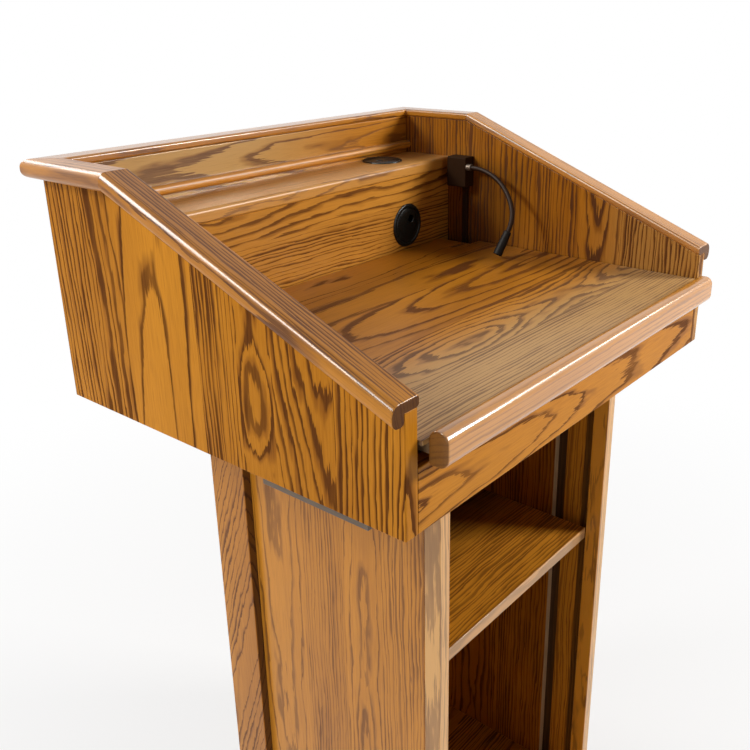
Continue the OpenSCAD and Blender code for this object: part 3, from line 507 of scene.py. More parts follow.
oakBoards = {
    "leftPanel": wood(z, y, (-0.37, headY, headZ), 3.1, coat=0.0, sheen=0.3, strips=[
        strip(-0.3, -0.43, gap=0.0076, lean=0.02, tone=0.56, dark=0.9, wander=0.8, first=0.35),
        strip(-0.207, -0.188, 0.036, -0.09, 0.15, 0.001, 0.009, -0.1, 0.62, 1.6, 0.2),
        strip(-0.115, -0.086, 0.0393, 0.0, 0.094, 0.0053, 0.0066, 0.0, 0.5, 1.1, 0.2, 1.0, 0.54),
        strip(-0.06, 0.12, gap=0.0064, tone=0.42, dark=1.3, wander=0.7),
        strip(0.01, 0.1025, 0.04, 0.054, 0.0, 0.0008, 0.025, 0.086, 0.74, 1.6, 0.42, 0.55, 0.96),
        strip(0.15, 0.02, gap=0.012, lean=-0.03, tone=0.5, dark=1.8, wander=1.6),
        strip(0.222, 0.03, gap=0.0092, lean=-0.04, tone=0.52, dark=1.25)]),
    # painted sheen pales the front part, and painted shadow darkens the lower back corner by the lamp
    "rightPanel": wood(z, y, (0.35, headY, headZ), 7.4, coat=0.08, sheen=0.5, tone=-0.04,
                       pooled=[((0.34, -0.33, 0.9), (0.36, -0.2, 1.3), "pale", 0.45, 0.12),
                               ((0.34, 0.065, 0.9), (0.36, 0.3, 1.1), "pooled", 0.46, 0.06)], strips=[
        strip(-0.3, -0.44, gap=0.0062, tone=0.48, dark=0.9),
        strip(-0.165, -0.125, 0.036, -0.088, 0.1, 0.001, 0.009, 0.0, 0.66, 1.25, 0.22),
        strip(-0.09, 0.07, gap=0.0064, tone=0.46),
        strip(-0.005, -0.13, gap=0.0098, tone=0.54, dark=1.1, wander=0.8),
        strip(0.074, -0.1, gap=0.0066, tone=0.36, dark=1.1)]),
    # painted sheen pales and greys the front strip
    "readingSurface": wood(x, y, (0, headY, headZ + 0.107), 11.3, coat=0.22, sheen=0.4, polish=0.2,
                           pooled=[((0.0, -0.33, 0.9), (0.36, -0.235, 1.1), "paintedSheen", 0.34, 0.13),
                                   ((0.0, -0.33, 0.9), (0.36, -0.225, 1.1), "pale", 0.75, 0.1)], strips=[
        strip(-0.34, -0.47, gap=0.0056, tone=0.84, dark=0.72, wander=0.5),
        strip(-0.217, -0.178, 0.0407, 0.0, -0.1, 0.0107, 0.0072, 0.0, 0.64, 0.95, 0.5, 1.0, 0.4),
        strip(-0.122, -0.05, 0.06, -0.14, -0.15, 0.001, 0.019, -0.03, 0.46, 2.0, 0.3, 0.8, 0.83),
        strip(0.0, 0.033, 0.045, 0.0, 0.16, 0.006, 0.02, 0.0, 0.42, 2.6, 0.6, 0.8, 0.24),
        strip(0.074, 0.15, 0.05, 0.016, 0.0, 0.004, 0.015, 0.0, 0.38, 0.6, 0.45)]),
    # painted light pales the whole riser
    "riser": wood(x, z, (0, 0.186, headZ), 2.2, coat=0.06, sheen=0.4, darkness=0.88, tone=0.14,
                  pooled=[((0.0, 0.0, 0.9), (0.36, 0.22, 1.2), "pale", 0.22, 0.001)], strips=[
        strip(-0.01, -0.13, gap=0.006, lean=0.01, tone=0.55, dark=0.7),
        strip(0.186, 0.242, 0.036, 0.025, -0.14, 0.004, 0.01, -0.03, 0.66, 1.2, 0.36)]),
    "apron": wood(x, z, (0, -0.295, headZ), 5.6, coat=0.05, sheen=0.3, darkness=0.95, strips=[
        strip(-0.01, 0.032, 0.036, 0.07, -0.113, 0.001, 0.009, 0.0, 0.58, 0.95, 0.34, 0.8)]),
    # painted light pales the left part of the inner face
    "frontPanel": wood(x, z, (0, 0.285, headZ), 4.8, coat=0.5, tone=-0.16, darkness=0.74,
                       pooled=[((-0.4, 0.25, 1.0), (-0.08, 0.2875, 1.3), "pale", 0.95, (0.34, 0.004, 0.34))], strips=[
        strip(-0.01, 0.062, 0.05, 0.03, 0.0, 0.002, 0.0085, 0.02, 0.55),
        strip(0.13, 0.4, gap=0.007, tone=0.5),
        strip(0.215, 0.288, 0.036, -0.05, 0.0, 0.001, 0.009, 0.02, 0.7, 0.8, wander=0.7)]),
    # painted sheen pales the whole shelf
    "equipmentShelf": wood(x, y, (0, headY, headZ + 0.2535), 6.3, coat=0.55, polish=0.38, darkness=0.6, tone=0.25,
                           pooled=[((0.0, 0.1, 1.1), (0.36, 0.3, 1.2), "pale", 0.3, 0.001)],
                           strips=[strip(0.17, 0.06, gap=0.007, lean=0.02, tone=0.85, dark=0.5)]),
    # painted shade darkens two bands of the inner face, beside the liner's front and beside the edging
    "skin": wood(z, y, (-0.228, headY, headZ), 8.8, coat=0.36, darkness=0.62, tone=0.08,
                 pooled=[((0.2, -0.157, 0.05), (0.2205, -0.14, 0.9), "pooled", 0.92, 0.0015),
                         ((0.2, -0.212, 0.05), (0.2205, -0.191, 0.9), "pooled", 0.8, 0.0015)], strips=[
        strip(-0.23, -0.42, gap=0.006, tone=0.55, dark=0.85),
        strip(-0.14, -0.107, 0.024, 0.03, -0.237, 0.001, 0.008, 0.0, 0.62, 0.9),
        strip(-0.072, 0.08, gap=0.006, tone=0.56, dark=0.85),
        strip(0.01, 0.06, 0.05, -0.02, -0.2, 0.001, 0.0095, 0.0, 0.62, 0.85)]),
    # painted shade darkens the step that faces the speaker
    "post": wood(z, y, (-0.241, headY, headZ), 9.9, coat=0.26, darkness=0.8, tone=-0.1,
                 pooled=[((0.2, 0.11, 0.0), (0.239, 0.1145, 0.9), "pooled", 0.72, 0.0015)], strips=[
        strip(0.1, -0.02, gap=0.0085, lean=0.34, tone=0.55, dark=0.9)]),
    # painted light pales the front part of the edging's faces
    "edging": wood(z, x, (-0.228, -0.232, headZ), 1.4, coat=0.8, sheen=0.7, polish=0.32, lacquer=1.6, darkness=0.5,
                   tone=0.45, pooled=[((paintedLitFrom, -0.26, 0.0), (0.26, -0.2, 0.9), "paintedLitFace", 0.85, 0.001)],
                   strips=[strip(-0.01, -0.15, gap=0.006, tone=0.8, dark=0.7)]),
    # painted shade darkens the back of the top under the head, and a painted highlight pales the front edge
    "middleShelf": wood(x, y, (0, headY, 0.585), 12.2, coat=0.4, tone=0.78, darkness=0.64,
                        pooled=[((0.0, 0.01, 0.5), (0.25, 0.18, 0.6), "pooled", 0.8, 0.14),
                                ((0.0, -0.26, 0.5), (0.25, shelfEdgeTo, 0.6), "paintedSheen", 0.45, 0.0008)], strips=[
        strip(-0.24, -0.42, gap=0.006, tone=0.5, dark=1.1),
        strip(-0.06, 0.12, gap=0.0064, tone=0.46, dark=1.1)]),
    # a painted highlight pales the front edge
    "liner": wood(z, y, (0.208, headY, headZ), 13.7, tone=-0.25, coat=0.05, sheen=0.5,
                  pooled=[((0.2, -0.15, 0.05), (0.2195, -0.1427, 0.9), "paintedSheen", 0.7, 0.001)], strips=[
        strip(-0.16, -0.32, gap=0.0062, tone=0.28),
        strip(-0.03, 0.01, 0.04, 0.03, -0.3, 0.003, 0.0088, 0.0, 0.32)]),
    "backPanel": wood(z, x, (0, 0.155, headZ), 14.1, tone=-0.15, strips=anyStrips(-0.22, 0.22, 5)),
    "floorBoard": wood(x, y, (0, 0, 0.051), 15.5, coat=0.25, strips=anyStrips(-0.34, 0.3, 6)),
    "bookStop": wood(x, z, (0, -0.324, headZ + 0.077), 16.4, coat=1.0, polish=0.12, lacquer=1.65, ends=0.66, tone=0.12,
                     darkness=0.32, strips=[
        strip(-0.01, -0.11, gap=0.007, lean=0.006, tone=0.76, dark=0.7, wander=0.4)]),
    "frontCap": wood(x, y, (0, 0.305, capZ), 17.7, coat=0.9, darkness=0.7, strips=[
        strip(-0.04, -0.16, gap=0.0075, tone=0.54, dark=0.8)]),
    "levelCap": wood(y, x, (-0.37, 0.145, capZ), 18.2, coat=0.72, sheen=0.6, polish=0.32, darkness=0.8, strips=[
        strip(-0.04, -0.16, gap=0.006, tone=0.46, dark=0.9, wander=0.5)]),
    "levelCapRight": wood(y, x, (0.37, 0.145, capZ), 18.9, coat=0.8, strips=[
        strip(-0.04, -0.16, gap=0.0075, tone=0.48, dark=0.8)]),
    "slopeCap": wood(downSlope, x, (-0.37, 0.145, capZ), 19.3, coat=0.5, sheen=0.4, polish=0.19, darkness=0.85, strips=[
        strip(-0.04, -0.13, gap=0.005, lean=-0.012, tone=0.52, dark=0.8, wander=0.4)]),
    # the high tone of its strip is painted sheen, making it paler than the left capping
    "slopeCapRight": wood(downSlope, x, (0.37, 0.145, capZ), 20.6, coat=0.7, sheen=1.6, polish=0.42, lacquer=1.6,
                          darkness=0.6, strips=[
        strip(-0.04, -0.13, gap=0.006, lean=0.008, tone=0.92, dark=0.8, wander=0.5)]),
    "bead": wood(x, z, (0, 0.274, headZ + 0.26), 21.5, coat=0.6, polish=0.38, darkness=0.5,
                 strips=[strip(-0.01, -0.1, gap=0.007, tone=0.7, dark=0.6)]),
    "hidden": wood(x, y, (0, 0, headZ), 22.8, tone=-0.25, strips=anyStrips(-0.34, 0.34, 8)),
    "cleat": wood(y, x, (0, 0, headZ), 23.3, tone=-0.2, strips=anyStrips(-0.36, 0.36, 9)),
}
# the other side's boards: the same strips, measured from that side's own face, and the same painted light and shade
for key, twin, face in (("skin", "skinRight", 0.228), ("post", "postRight", 0.241), ("liner", "linerLeft", -0.208)):
    one = oakBoards[key]
    oakBoards[twin] = dict(one, origin=(face,) + one["origin"][1:], seed=one["seed"] + 30)
oak = {key: makeOak("oak " + key, **settings) for key, settings in oakBoards.items()}

blackPlastic = makePlain("black moulded plastic", (0.004, 0.0052, 0.0044), 0.28, bump=0.15, specular=0.35)
blackPaint = makePlain("black painted metal", (0.0105, 0.007, 0.005), 0.5, bump=0.08, specular=0.08)
zincSteel = makePlain("bright zinc steel", (0.42, 0.43, 0.45), 0.36, metallic=1.0, stretch=(60, 900, 900), bump=0.06)
railSteel = makePlain("rolled steel", (0.118, 0.086, 0.062), 0.5, metallic=0.5, stretch=(700, 60, 700),
                      variation=0.5, bump=0.12)
lampBase = makePlain("brown lacquered metal", (0.033, 0.014, 0.0048), 0.66, bump=0.08, specular=0.03)
lampBronze = makePlain("dark bronze paint", (0.027, 0.0105, 0.0038), 0.48, bump=0.08, specular=0.12)
hingeBrass = makePlain("dull plated brass", (0.55, 0.4, 0.19), 0.38, metallic=1.0, bump=0.05)
frosted = makePlain("frosted diffuser", (0.8, 0.79, 0.72), 0.55, variation=0.04, bump=0.05)
print("stage 2: materials made,", len(oak), "oak boards")


def dress(piece, body, material, slotName, *replaced):
    piece.data.materials.clear()
    piece.data.materials.append(material)
    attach(piece, body)
    if replaced:
        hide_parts(*replaced)


def dressOak(piece, board, node, slotName="oak"):
    dress(piece, "lectern", oak[board], slotName, node)


def dressCad(material, *names):
    for name in names:
        slots = cadNodes[name].material_slots
        if not len(slots):
            cadNodes[name].data.materials.append(material)
        for one in slots:
            one.material = material


# The head

head = {"halfWidth": 0.37, "board": 0.02, "speakerY": -0.295, "audienceY": 0.305, "height": 0.331,
        "level": 0.16, "capThick": 0.012, "capDrop": 0.024, "capOut": 0.019, "capIn": 0.023,
        "capRadii": [0.004, 0.0005, 0.005, 0.0095, 0.0105, 0.004], "capSteps": 9, "ease": 0.0012,
        "mitreEase": 0.0004}
kneeY = head["audienceY"] - head["level"]
panelTop = head["height"] - head["capThick"]
panelKneeY = kneeY + head["capThick"] * math.tan(slope / 2)
panelFrontTop = panelTop - (panelKneeY - head["speakerY"]) * math.tan(slope)

panelOutline = easedOutline([(head["speakerY"], headZ), (head["audienceY"], headZ),
                             (head["audienceY"], headZ + panelTop), (panelKneeY, headZ + panelTop),
                             (head["speakerY"], headZ + panelFrontTop)], head["ease"])
for side, name, board in ((-1, "left", "leftPanel"), (1, "right", "rightPanel")):
    faces = sorted((side * head["halfWidth"], side * (head["halfWidth"] - head["board"])))
    panel = boardAlongX(name + "_panel_board", panelOutline, *faces, head["ease"], head["ease"])
    dressOak(panel, board, name + "_side_panel")

dressOak(easedBoard("front_panel_board", *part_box("front_panel")), "frontPanel", "front_panel")
dressOak(easedBoard("apron_board", *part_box("apron")), "apron", "apron")

capOutline = roundedOutline([(-head["capIn"], -head["capThick"]), (0, -head["capThick"]), (0, -head["capDrop"]),
                             (head["capOut"], -head["capDrop"]), (head["capOut"], 0), (-head["capIn"], 0)],
                            head["capRadii"], head["capSteps"])
kneePlane = ((0, kneeY, headZ + head["height"]), (0, math.cos(slope / 2), math.sin(slope / 2)))
frontPlane = ((0, head["speakerY"], 0), y)
mitres = {side: ((side * head["halfWidth"], head["audienceY"], 0), (side, -1, 0)) for side in (-1, 1)}
mitreEase = head["mitreEase"]
for side, name, board in ((-1, "left", ""), (1, "right", "Right")):
    out, top = (side, 0, 0), headZ + head["height"]
    planes = [mitres[side], kneePlane][::side]   # the outline runs the other way on the left
    cap = carriedPiece(name + "_level_capping", capOutline, out, z, (side * head["halfWidth"], 0, top), *planes,
                       mitreEase, mitreEase)
    dressOak(cap, "levelCap" + board, name + "_level_cap")
    cap = carriedPiece(name + "_slope_capping", capOutline, out, (0, -math.sin(slope), math.cos(slope)),
                       (side * head["halfWidth"], kneeY, top), *[kneePlane, frontPlane][::side],
                       *[mitreEase, head["ease"]][::side])
    dressOak(cap, "slopeCap" + board, name + "_slope_cap")
cap = carriedPiece("front_capping", capOutline, y, z, (0, head["audienceY"], headZ + head["height"]),
                   mitres[-1], mitres[1], mitreEase, mitreEase)
dressOak(cap, "frontCap", "front_cap")

bead = {"radii": [0.0068, 0.0006, 0.0006, 0.0068], "steps": 6, "ease": 0.0003}
low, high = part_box("shelf_bead")
beadOutline = roundedOutline(boxCorners(low, high, 1, 2), bead["radii"], bead["steps"])
dressOak(boardAlongX("shelf_bead_moulding", beadOutline, low[0], high[0], bead["ease"], bead["ease"]), "bead",
         "shelf_bead")
dressCad(oak["riser"], "riser_panel")
dressCad(oak["equipmentShelf"], "equipment_shelf")
dressCad(oak["hidden"], "head_floor", "rear_surface_cleat", "pedestal_top")
dressCad(oak["cleat"], "shelf_cleats", "left_surface_cleat", "right_surface_cleat")
print("stage 3: head")

# The reading surface

surface = {"half": 0.348, "frontY": -0.299, "rearY": 0.1825, "low": headZ + 0.088, "high": headZ + 0.107,
           "tongue": 0.005, "tongueDepth": 0.03, "tongueX": 0.336, "notchX": 0.32, "notchY": 0.113,
           "ease": 0.0012, "sharp": 0.00001}
s = surface
tongueY = s["frontY"] + s["tongueDepth"]
behind = [(s["half"], s["notchY"]), (s["notchX"], s["notchY"]), (s["notchX"], s["rearY"]), (-s["half"], s["rearY"])]
topPlan = easedOutline([(-s["half"], s["frontY"]), (s["half"], s["frontY"])] + behind, s["ease"])
lowPlan = easedOutline([(-s["tongueX"], s["frontY"]), (s["tongueX"], s["frontY"]), (s["tongueX"], tongueY),
                        (s["half"], tongueY)] + behind + [(-s["half"], tongueY), (-s["tongueX"], tongueY)], s["ease"])
split = s["high"] - s["tongue"]
shells = [carryOutline(topPlan, x, y, (0, 0, 0), ((0, 0, split), z), ((0, 0, s["high"]), z), s["sharp"], s["ease"]),
          carryOutline(lowPlan, x, y, (0, 0, 0), ((0, 0, s["low"]), z), ((0, 0, split), z), s["ease"], s["sharp"])]
dress(joinShells("reading_board", shells), "reading_top", oak["readingSurface"], "oak", "reading_surface")

bookStop = {"radii": [0.0125, 0.004, 0.0112, 0.0112], "steps": 10, "ease": 0.0016, "easeSteps": 5}
low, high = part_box("book_stop")
stopOutline = roundedOutline(boxCorners(low, high, 1, 2), bookStop["radii"], bookStop["steps"])
dress(boardAlongX("book_stop_moulding", stopOutline, low[0], high[0], bookStop["ease"], bookStop["ease"],
                  bookStop["easeSteps"]), "reading_top", oak["bookStop"], "oak", "book_stop")
dressCad(hingeBrass, "hinge_upper_leaf", "hinge_lower_leaf")
dressCad(zincSteel, "hinge_pin", "left_quadrant_stay", "right_quadrant_stay", "left_stay_stud", "right_stay_stud",
         "head_bolts", "shelf_supports")
print("stage 4: reading surface")

# Knobs, grommets, lamp, rails

stay = {"axisY": -0.271, "axisZ": headZ + 0.0835, "radius": 0.14, "angle": math.radians(4),
        "inner": 0.35, "gap": 0.012, "thick": 0.002, "clear": 0.0004, "knobRadius": 0.009, "knobLength": 0.009,
        "knobProfile": [(0, 0), (0.94, 0), (0.99, 0.08), (0.985, 0.5), (0.93, 0.86), (0.84, 0.98), (0.6, 1), (0, 1)],
        "flutes": 12, "fluteDepth": 0.025, "around": 96}
knobProfile = np.array(stay["knobProfile"]) * (stay["knobRadius"], stay["knobLength"])
for side, name in ((-1, "left"), (1, "right")):
    outFrom = side * (stay["inner"] - stay["gap"] - stay["thick"] - stay["clear"])
    centre = (outFrom, stay["axisY"] + stay["radius"] * math.cos(stay["angle"]),
              stay["axisZ"] - stay["radius"] * math.sin(stay["angle"]))
    knob = turnedShape(name + "_clamp_knob", knobProfile, centre, (-side, 0, 0), stay["around"],
                       lambda angle: -stay["fluteDepth"] * (0.5 + 0.5 * np.cos(stay["flutes"] * angle)))
    dress(knob, "lectern", blackPlastic, "black_plastic", name + "_stay_knob")

grommets = {
    "riser": {"flange": 0.038, "centre": (0.229, 0.186, headZ + 0.148), "out": (0, -1, 0),
              "turned": math.radians(54), "body": "riser_cap"},
    "shelf": {"flange": 0.0355, "centre": (0.238, 0.249, headZ + 0.2535), "out": (0, 0, 1),
              "turned": math.radians(200), "body": "shelf_cap"},
}
grommetSizes = {"flangeWidth": 0.005, "flangeThick": 0.0025, "wall": 0.002, "board": 0.02, "seat": 0.003,
                "capThick": 0.003, "clear": 0.0004, "holeOffset": 0.0136, "holeRadius": 0.0065}


# Disc with an off-centre hole: a point goes from the hole's circle to the disc's circle by the share s while a
# profile gives its height, so point = (1 - s) * hole circle + s * rim circle + height * out.
def holedDisc(name, radius, holeAt, holeRadius, profile, centre, right, out, around=96):
    right, out = np.array(right, float), np.array(out, float)
    up = np.cross(out, right)
    share, height = np.array(profile, float).T
    angle = np.linspace(0, 2 * math.pi, around, endpoint=False)
    circle = np.stack([np.cos(angle), np.sin(angle)], 1)
    hole = np.array(holeAt) + circle * holeRadius
    rim = circle * radius
    flat = hole[None] * (1 - share[:, None, None]) + rim[None] * share[:, None, None]
    points = np.array(centre) + flat[..., :1] * right + flat[..., 1:] * up + height[:, None, None] * out
    points = np.concatenate([points, points[:1]])
    return putMesh(name, points, gridFaces(len(points), around))


for key, one in grommets.items():
    g = grommetSizes
    flange, top = one["flange"], g["flangeThick"]
    bore = flange - g["flangeWidth"] - g["wall"]
    seatZ = top - g["capThick"] - g["clear"]
    outer = flange - g["flangeWidth"]
    profile = [(bore - g["seat"], -g["board"]), (outer - 0.0005, -g["board"]), (outer, -g["board"] + 0.0005),
               (outer, 0.0), (flange - 0.0003, 0.0), (flange, 0.0004), (flange - 0.0004, 0.0013),
               (flange - 0.0012, 0.002), (flange - 0.0024, top), (bore + 0.0012, top), (bore + 0.0003, top - 0.0003),
               (bore, top - 0.001), (bore, seatZ), (bore - g["seat"] + 0.0003, seatZ),
               (bore - g["seat"], seatZ - 0.0003), (bore - g["seat"], -g["board"])]
    dress(turnedShape(key + "_grommet_ring", profile, one["centre"], one["out"], 96),
          "lectern", blackPlastic, "black_plastic", key + "_grommet_liner")
    capRadius = bore - g["clear"]
    away = np.array([math.cos(one["turned"]), math.sin(one["turned"])]) * g["holeOffset"]
    base = top - g["capThick"]
    capProfile = [(0.0, base), (0.0, top - 0.0009), (0.012, top - 0.0003), (0.045, top), (0.1, top), (0.5, top),
                  (0.74, top), (0.77, top - 0.0005), (0.82, top - 0.0005), (0.85, top), (0.95, top - 0.00005),
                  (0.985, top - 0.0004), (1.0, top - 0.001), (1.0, base)]
    dress(holedDisc(key + "_grommet_lid", capRadius, away, g["holeRadius"], capProfile, one["centre"],
                    x, one["out"]), one["body"], blackPlastic, "black_plastic", key + "_grommet_cap")

lamp = {"neckX": 0.3312, "faceY": 0.13, "ferruleY": 0.121, "neckZ": headZ + 0.241, "lean": math.radians(28),
        "nearRadius": 0.118, "nearTurn": math.radians(61), "farRadius": 0.0625, "farTurn": math.radians(39),
        "neckRadius": 0.0042, "neckRings": 620, "neckSides": 20, "intoFerrule": 0.008, "intoHood": 0.002,
        "winding": 0.0021, "wireMean": 0.965, "wireSwell": 0.035, "plainShare": 0.985,
        "hoodLength": 0.043, "hoodStart": 0.0065, "hoodEnd": 0.008,
        "baseRadii": [0.003, 0.0006, 0.0006, 0.003], "baseEase": (0.0006, 0.0015), "coverEase": 0.001,
        "collarNotches": 24, "notchDepth": 0.012}
ahead = np.array([0.0, -1.0, 0.0])
down = np.array([-math.sin(lamp["lean"]), 0.0, -math.cos(lamp["lean"])])
binormal = np.cross(ahead, down)
neckStart = np.array([lamp["neckX"], lamp["ferruleY"], lamp["neckZ"]])


# The neck's middle line at lengths s: straight, then a wide arc, then a tighter one. In an arc of radius R the
# heading turns by length / R, and the place is the arc's start plus R * (sin, 1 - cos) of that turn.
def neckLine(length):
    wide = lamp["nearRadius"] * lamp["nearTurn"]
    first = np.clip(length, 0, wide) / lamp["nearRadius"]
    second = np.clip(length - wide, 0, lamp["farRadius"] * lamp["farTurn"]) / lamp["farRadius"]
    heading = first + second
    straightBack = np.minimum(length, 0)
    forward = straightBack + lamp["nearRadius"] * np.sin(first) + lamp["farRadius"] * (np.sin(heading) - np.sin(first))
    drop = lamp["nearRadius"] * (1 - np.cos(first)) + lamp["farRadius"] * (np.cos(first) - np.cos(heading))
    spot = neckStart + forward[:, None] * ahead + drop[:, None] * down
    facing = np.cos(heading)[:, None] * ahead + np.sin(heading)[:, None] * down
    return spot, facing


# Wound tube: middle line plus radius * (cos * side + sin * binormal); the radius swells once per winding, and the
# swelling is turned with the angle so that it climbs like a thread. In the ferrule the tube is plain.
neckLength = lamp["nearRadius"] * lamp["nearTurn"] + lamp["farRadius"] * lamp["farTurn"]
rings, sides = lamp["neckRings"], lamp["neckSides"]
length = np.linspace(-lamp["intoFerrule"], neckLength + lamp["intoHood"], rings)
spot, facing = neckLine(length)
sideways = np.cross(facing, binormal)
angle = np.linspace(0, 2 * math.pi, sides, endpoint=False)
phase = 2 * math.pi * length[:, None] / lamp["winding"] + angle[None, :]
radius = lamp["neckRadius"] * (lamp["wireMean"] + lamp["wireSwell"] * np.cos(phase))
radius = np.where(length[:, None] < 0, lamp["neckRadius"] * lamp["plainShare"], radius)
points = (spot[:, None] + radius[..., None] * (np.cos(angle)[None, :, None] * sideways[:, None]
                                               + np.sin(angle)[None, :, None] * binormal))
neckEnds = [list(range(sides))[::-1], list(range((rings - 1) * sides, rings * sides))]
neck = putMesh("lamp_neck_tube", points, gridFaces(rings, sides) + neckEnds, evenNormals=False)
dress(neck, "lamp_arm", lampBronze, "black_metal", "lamp_neck")

hoodAt, hoodFacing = (part[0] for part in neckLine(np.array([neckLength])))
narrow, wide, long = lamp["hoodStart"], lamp["hoodEnd"], lamp["hoodLength"]
swell = wide - narrow
hoodProfile = [(0, 0), (0.0042, 0), (0.0046, 0.0002), (narrow - 0.0008, 0.0004), (narrow - 0.0002, 0.0012),
               (narrow, 0.0024), (narrow + swell * 0.3, long * 0.3), (narrow + swell * 0.31 - 0.0003, long * 0.31),
               (narrow + swell * 0.34 - 0.0003, long * 0.34), (narrow + swell * 0.35, long * 0.35),
               (wide, long - 0.0006), (wide - 0.0003, long), (wide - 0.0009, long), (wide - 0.0012, long - 0.0006),
               (wide - 0.0015, long - 0.012), (narrow - 0.0012, 0.01), (0, 0.01)]
dress(turnedShape("lamp_hood_shell", hoodProfile, hoodAt, hoodFacing, 64), "lamp_arm", blackPaint, "black_metal",
      "lamp_hood")
lensProfile = [(0, 0.0101), (0.0052, 0.0101), (0.0053, 0.0105), (0.0053, long - 0.0036), (0.005, long - 0.003),
               (0.003, long - 0.0026), (0, long - 0.0025)]
dress(turnedShape("lamp_diffuser", lensProfile, hoodAt, hoodFacing, 48), "lamp_arm", frosted, "lamp_lens", "lamp_lens")

low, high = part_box("lamp_base")
baseOutline = roundedOutline(boxCorners(low, high, 0, 2), lamp["baseRadii"], 6)
# x and z span the outline, so the box runs towards the speaker
base = carriedPiece("lamp_base_box", baseOutline, x, z, (0, 0, 0), ((0, high[1], 0), y), ((0, low[1], 0), y),
                    *lamp["baseEase"])
dress(base, "lectern", lampBase, "black_metal", "lamp_base")
dress(easedBoard("lamp_cable_channel", *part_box("lamp_cable_cover"), lamp["coverEase"]), "lectern", lampBase,
      "black_plastic", "lamp_cable_cover")
ferrule = [(0.00425, 0), (0.0062, 0), (0.0062, 0.0012), (0.0057, 0.0016), (0.0057, 0.006), (0.0062, 0.0064),
           (0.0062, 0.0078), (0.0055, 0.0089), (0.0046, 0.009), (0.00425, 0.0087), (0.00425, 0)]
collar = turnedShape("lamp_collar", ferrule, (lamp["neckX"], lamp["faceY"], lamp["neckZ"]), (0, -1, 0), 64,
                     lambda angle: lamp["notchDepth"] * np.cos(lamp["collarNotches"] * angle))
dress(collar, "lectern", railSteel, "steel", "lamp_ferrule")

for name in ("left_rail", "right_rail"):
    dress(easedBoard(name + "_bar", *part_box(name), 0.0008), "lectern", railSteel, "steel", name)
dressCad(zincSteel, "rail_screws")
dressCad(blackPlastic, "glides")
print("stage 5: knobs, grommets, lamp, rails")

# The pedestal

pedestalBoards = {
    "left_side_skin": "skin", "right_side_skin": "skinRight", "left_front_edging": "edging",
    "right_front_edging": "edging", "left_liner": "linerLeft", "right_liner": "liner", "left_corner_post": "post",
    "right_corner_post": "postRight", "middle_shelf": "middleShelf", "pedestal_floor": "floorBoard",
    "back_panel": "backPanel",
}
for name, board in pedestalBoards.items():
    if name.endswith("liner"):
        dressCad(oak[board], name)
    else:
        slotName = "inner_oak" if name == "back_panel" else "oak"
        dressOak(easedBoard(name + "_board", *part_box(name)), board, name, slotName)

foot = {"corner": 0.0105, "cornerSteps": 8, "lowEase": 0.002, "highEase": 0.01, "easeSteps": 7}
low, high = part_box("base_board")
plan = roundedOutline(boxCorners(low, high, 0, 1), foot["corner"], foot["cornerSteps"])
slab = carriedPiece("base_board_slab", plan, x, y, (0, 0, 0), ((0, 0, low[2]), z), ((0, 0, high[2]), z),
                    foot["lowEase"], foot["highEase"], foot["easeSteps"])
dressOak(slab, "floorBoard", "base_board")
print("stage 6: pedestal")

# Camera, floor, light

# Viewing angle of the photograph: bearing and height of the line of sight, a small roll, and the middle of
# projection a little off the frame's middle.
view = {"azimuth": math.radians(-50.38), "elevation": math.radians(20.72), "roll": math.radians(-0.77),
        "place": (-0.957, -0.7772, 1.3934), "focal": 881.33, "middle": (400.6, 343.2), "frame": 750}
az, el, roll = view["azimuth"], view["elevation"], view["roll"]
back = Vector((math.sin(az) * math.cos(el), -math.cos(az) * math.cos(el), math.sin(el)))
level = Vector((0, 0, 1)).cross(back).normalized()
upright = back.cross(level)
right = level * math.cos(roll) + upright * math.sin(roll)
upward = upright * math.cos(roll) - level * math.sin(roll)
lens = bpy.data.cameras.new("camera")
lens.sensor_width = 36
lens.lens = view["focal"] / view["frame"] * lens.sensor_width
lens.shift_x = (view["frame"] / 2 - view["middle"][0]) / view["frame"]
lens.shift_y = (view["middle"][1] - view["frame"] / 2) / view["frame"]
lens.clip_start, lens.clip_end = 0.05, 60
camera = bpy.data.objects.new("camera", lens)
bpy.context.scene.collection.objects.link(camera)
camera.matrix_world = Matrix.Translation(view["place"]) @ Matrix((right, upward, back)).transposed().to_4x4()
bpy.context.scene.camera = camera


# Share of the rays that see a thing as it is: the camera's own, and those that come by a gloss or through glass.
def seenPlainly(tree):
    path = addNode("ShaderNodeLightPath", tree=tree).outputs
    return calc("MAXIMUM", path["Is Camera Ray"],
                calc("MAXIMUM", path["Is Glossy Ray"], path["Is Transmission Ray"]))


def mixOut(share, first, second, outKind):
    mixed = addNode("ShaderNodeMixShader", {0: share, 1: first.outputs[0], 2: second.outputs[0]})
    addNode(outKind, {0: mixed.outputs[0]})


# Pale floor: near the object it shows its shading, and it goes over into plain white with the distance from it. Its
# points lie on circles about the origin, radius * (cos, sin).
ground = {"rims": (0.0, 1.0, 3.0, 40.0), "around": 96, "colour": (0.82, 0.81, 0.8, 1), "fadeFrom": 0.35,
          "fadeTo": 2.2, "whiteNear": 0.72}
material = bpy.data.materials.new("pale floor")
tree = emptyTree(material)
where = addNode("ShaderNodeTexCoord", tree=tree).outputs["Object"]
distance = addNode("ShaderNodeVectorMath", {0: where}, operation="LENGTH").outputs["Value"]
whiteShare = remap(distance, ground["fadeFrom"], ground["fadeTo"], ground["whiteNear"], 1.0)
mixOut(times(seenPlainly(tree), whiteShare),
       addNode("ShaderNodeBsdfDiffuse", {"Color": ground["colour"]}, tree),
       addNode("ShaderNodeEmission", {"Color": (1, 1, 1, 1), "Strength": 1.0}, tree), "ShaderNodeOutputMaterial")

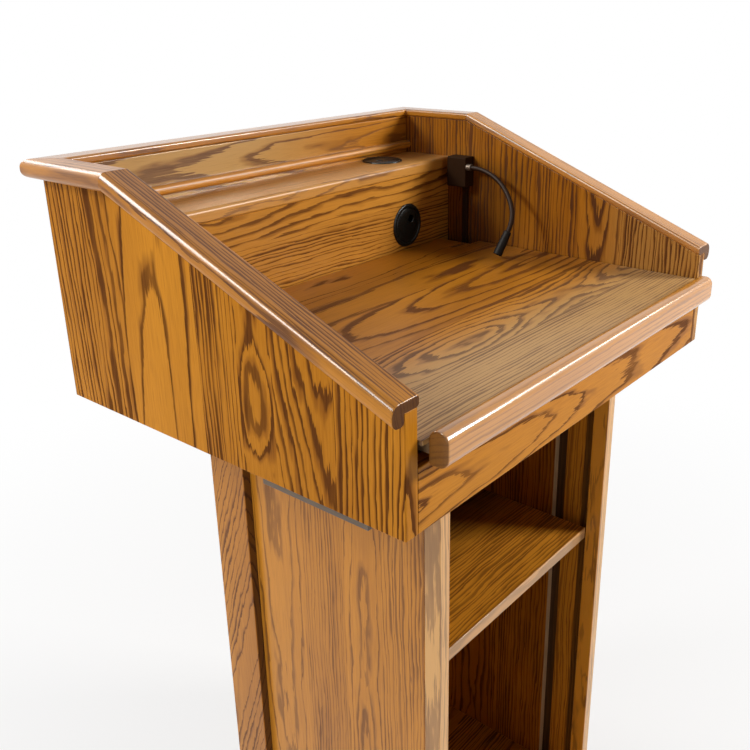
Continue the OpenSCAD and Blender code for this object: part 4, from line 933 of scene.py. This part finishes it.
angle = np.linspace(0, 2 * math.pi, ground["around"], endpoint=False)
rims = np.array(ground["rims"])
points = rims[:, None, None] * np.stack([np.cos(angle), np.sin(angle), 0 * angle], 1)[None]
floor = putMesh("floor", points, closePoles(gridFaces(len(rims), len(angle)), rims, len(angle)), evenNormals=False)
floor.data.materials.append(material)

world = bpy.data.worlds.new("studio")
bpy.context.scene.world = world
tree = emptyTree(world)
mixOut(seenPlainly(tree),
       addNode("ShaderNodeBackground", {"Color": (1.0, 0.98, 0.96, 1), "Strength": 0.05}, tree),
       addNode("ShaderNodeBackground", {"Color": (1, 1, 1, 1), "Strength": 1.0}, tree), "ShaderNodeOutputWorld")

lights = {
    "rightKey": {"place": (1.9, -2.45, 2.3), "aim": (0.0, 0.0, 1.0), "size": (0.9, 0.9), "power": 112,
                 "colour": (1.0, 0.98, 0.95)},
    "rear": {"place": (-0.5, 2.7, 3.0), "aim": (0.0, 0.0, 1.1), "size": (1.2, 0.9), "power": 50,
             "colour": (1.0, 0.99, 0.97)},
    "leftRear": {"place": (-2.15, 1.6, 2.75), "aim": (-0.2, 0.0, 1.1), "size": (0.7, 0.7), "power": 46,
                 "colour": (1.0, 1.0, 0.99)},
    "leftWindow": {"place": (-3.2, -0.2, 0.8), "aim": (-0.3, 0.0, 1.0), "size": (1.6, 1.2), "power": 34,
                   "colour": (1.0, 0.99, 0.96)},
    "leftStrip": {"place": (-1.865, 0.77, 3.02), "aim": (-0.37, -0.08, 1.15), "size": (1.9, 0.62), "power": 135,
                  "colour": (1.0, 0.98, 0.9), "glossOnly": True},
    "rightStrip": {"place": (2.4, -1.8, 2.2), "aim": (0.0, -0.3, 1.0), "size": (1.6, 0.3), "power": 20,
                   "colour": (1.0, 0.95, 0.86), "glossOnly": True},
    "front": {"place": (-0.3, -3.3, 1.2), "aim": (0.0, 0.0, 0.8), "size": (1.6, 1.4), "power": 6,
              "colour": (1.0, 0.99, 0.97)},
}
for name, one in lights.items():
    data = bpy.data.lights.new(name, "AREA")
    data.shape = "RECTANGLE"
    data.size, data.size_y = one["size"]
    data.energy, data.color = one["power"], one["colour"]
    lightObject = bpy.data.objects.new(name, data)
    bpy.context.scene.collection.objects.link(lightObject)
    lightObject.visible_diffuse = not one.get("glossOnly", False)
    aim = Vector(one["aim"]) - Vector(one["place"])
    lightObject.matrix_world = Matrix.Translation(one["place"]) @ aim.to_track_quat("-Z", "Y").to_matrix().to_4x4()
bpy.context.scene.view_settings.view_transform = "Standard"
print("stage 7: camera, floor, light")
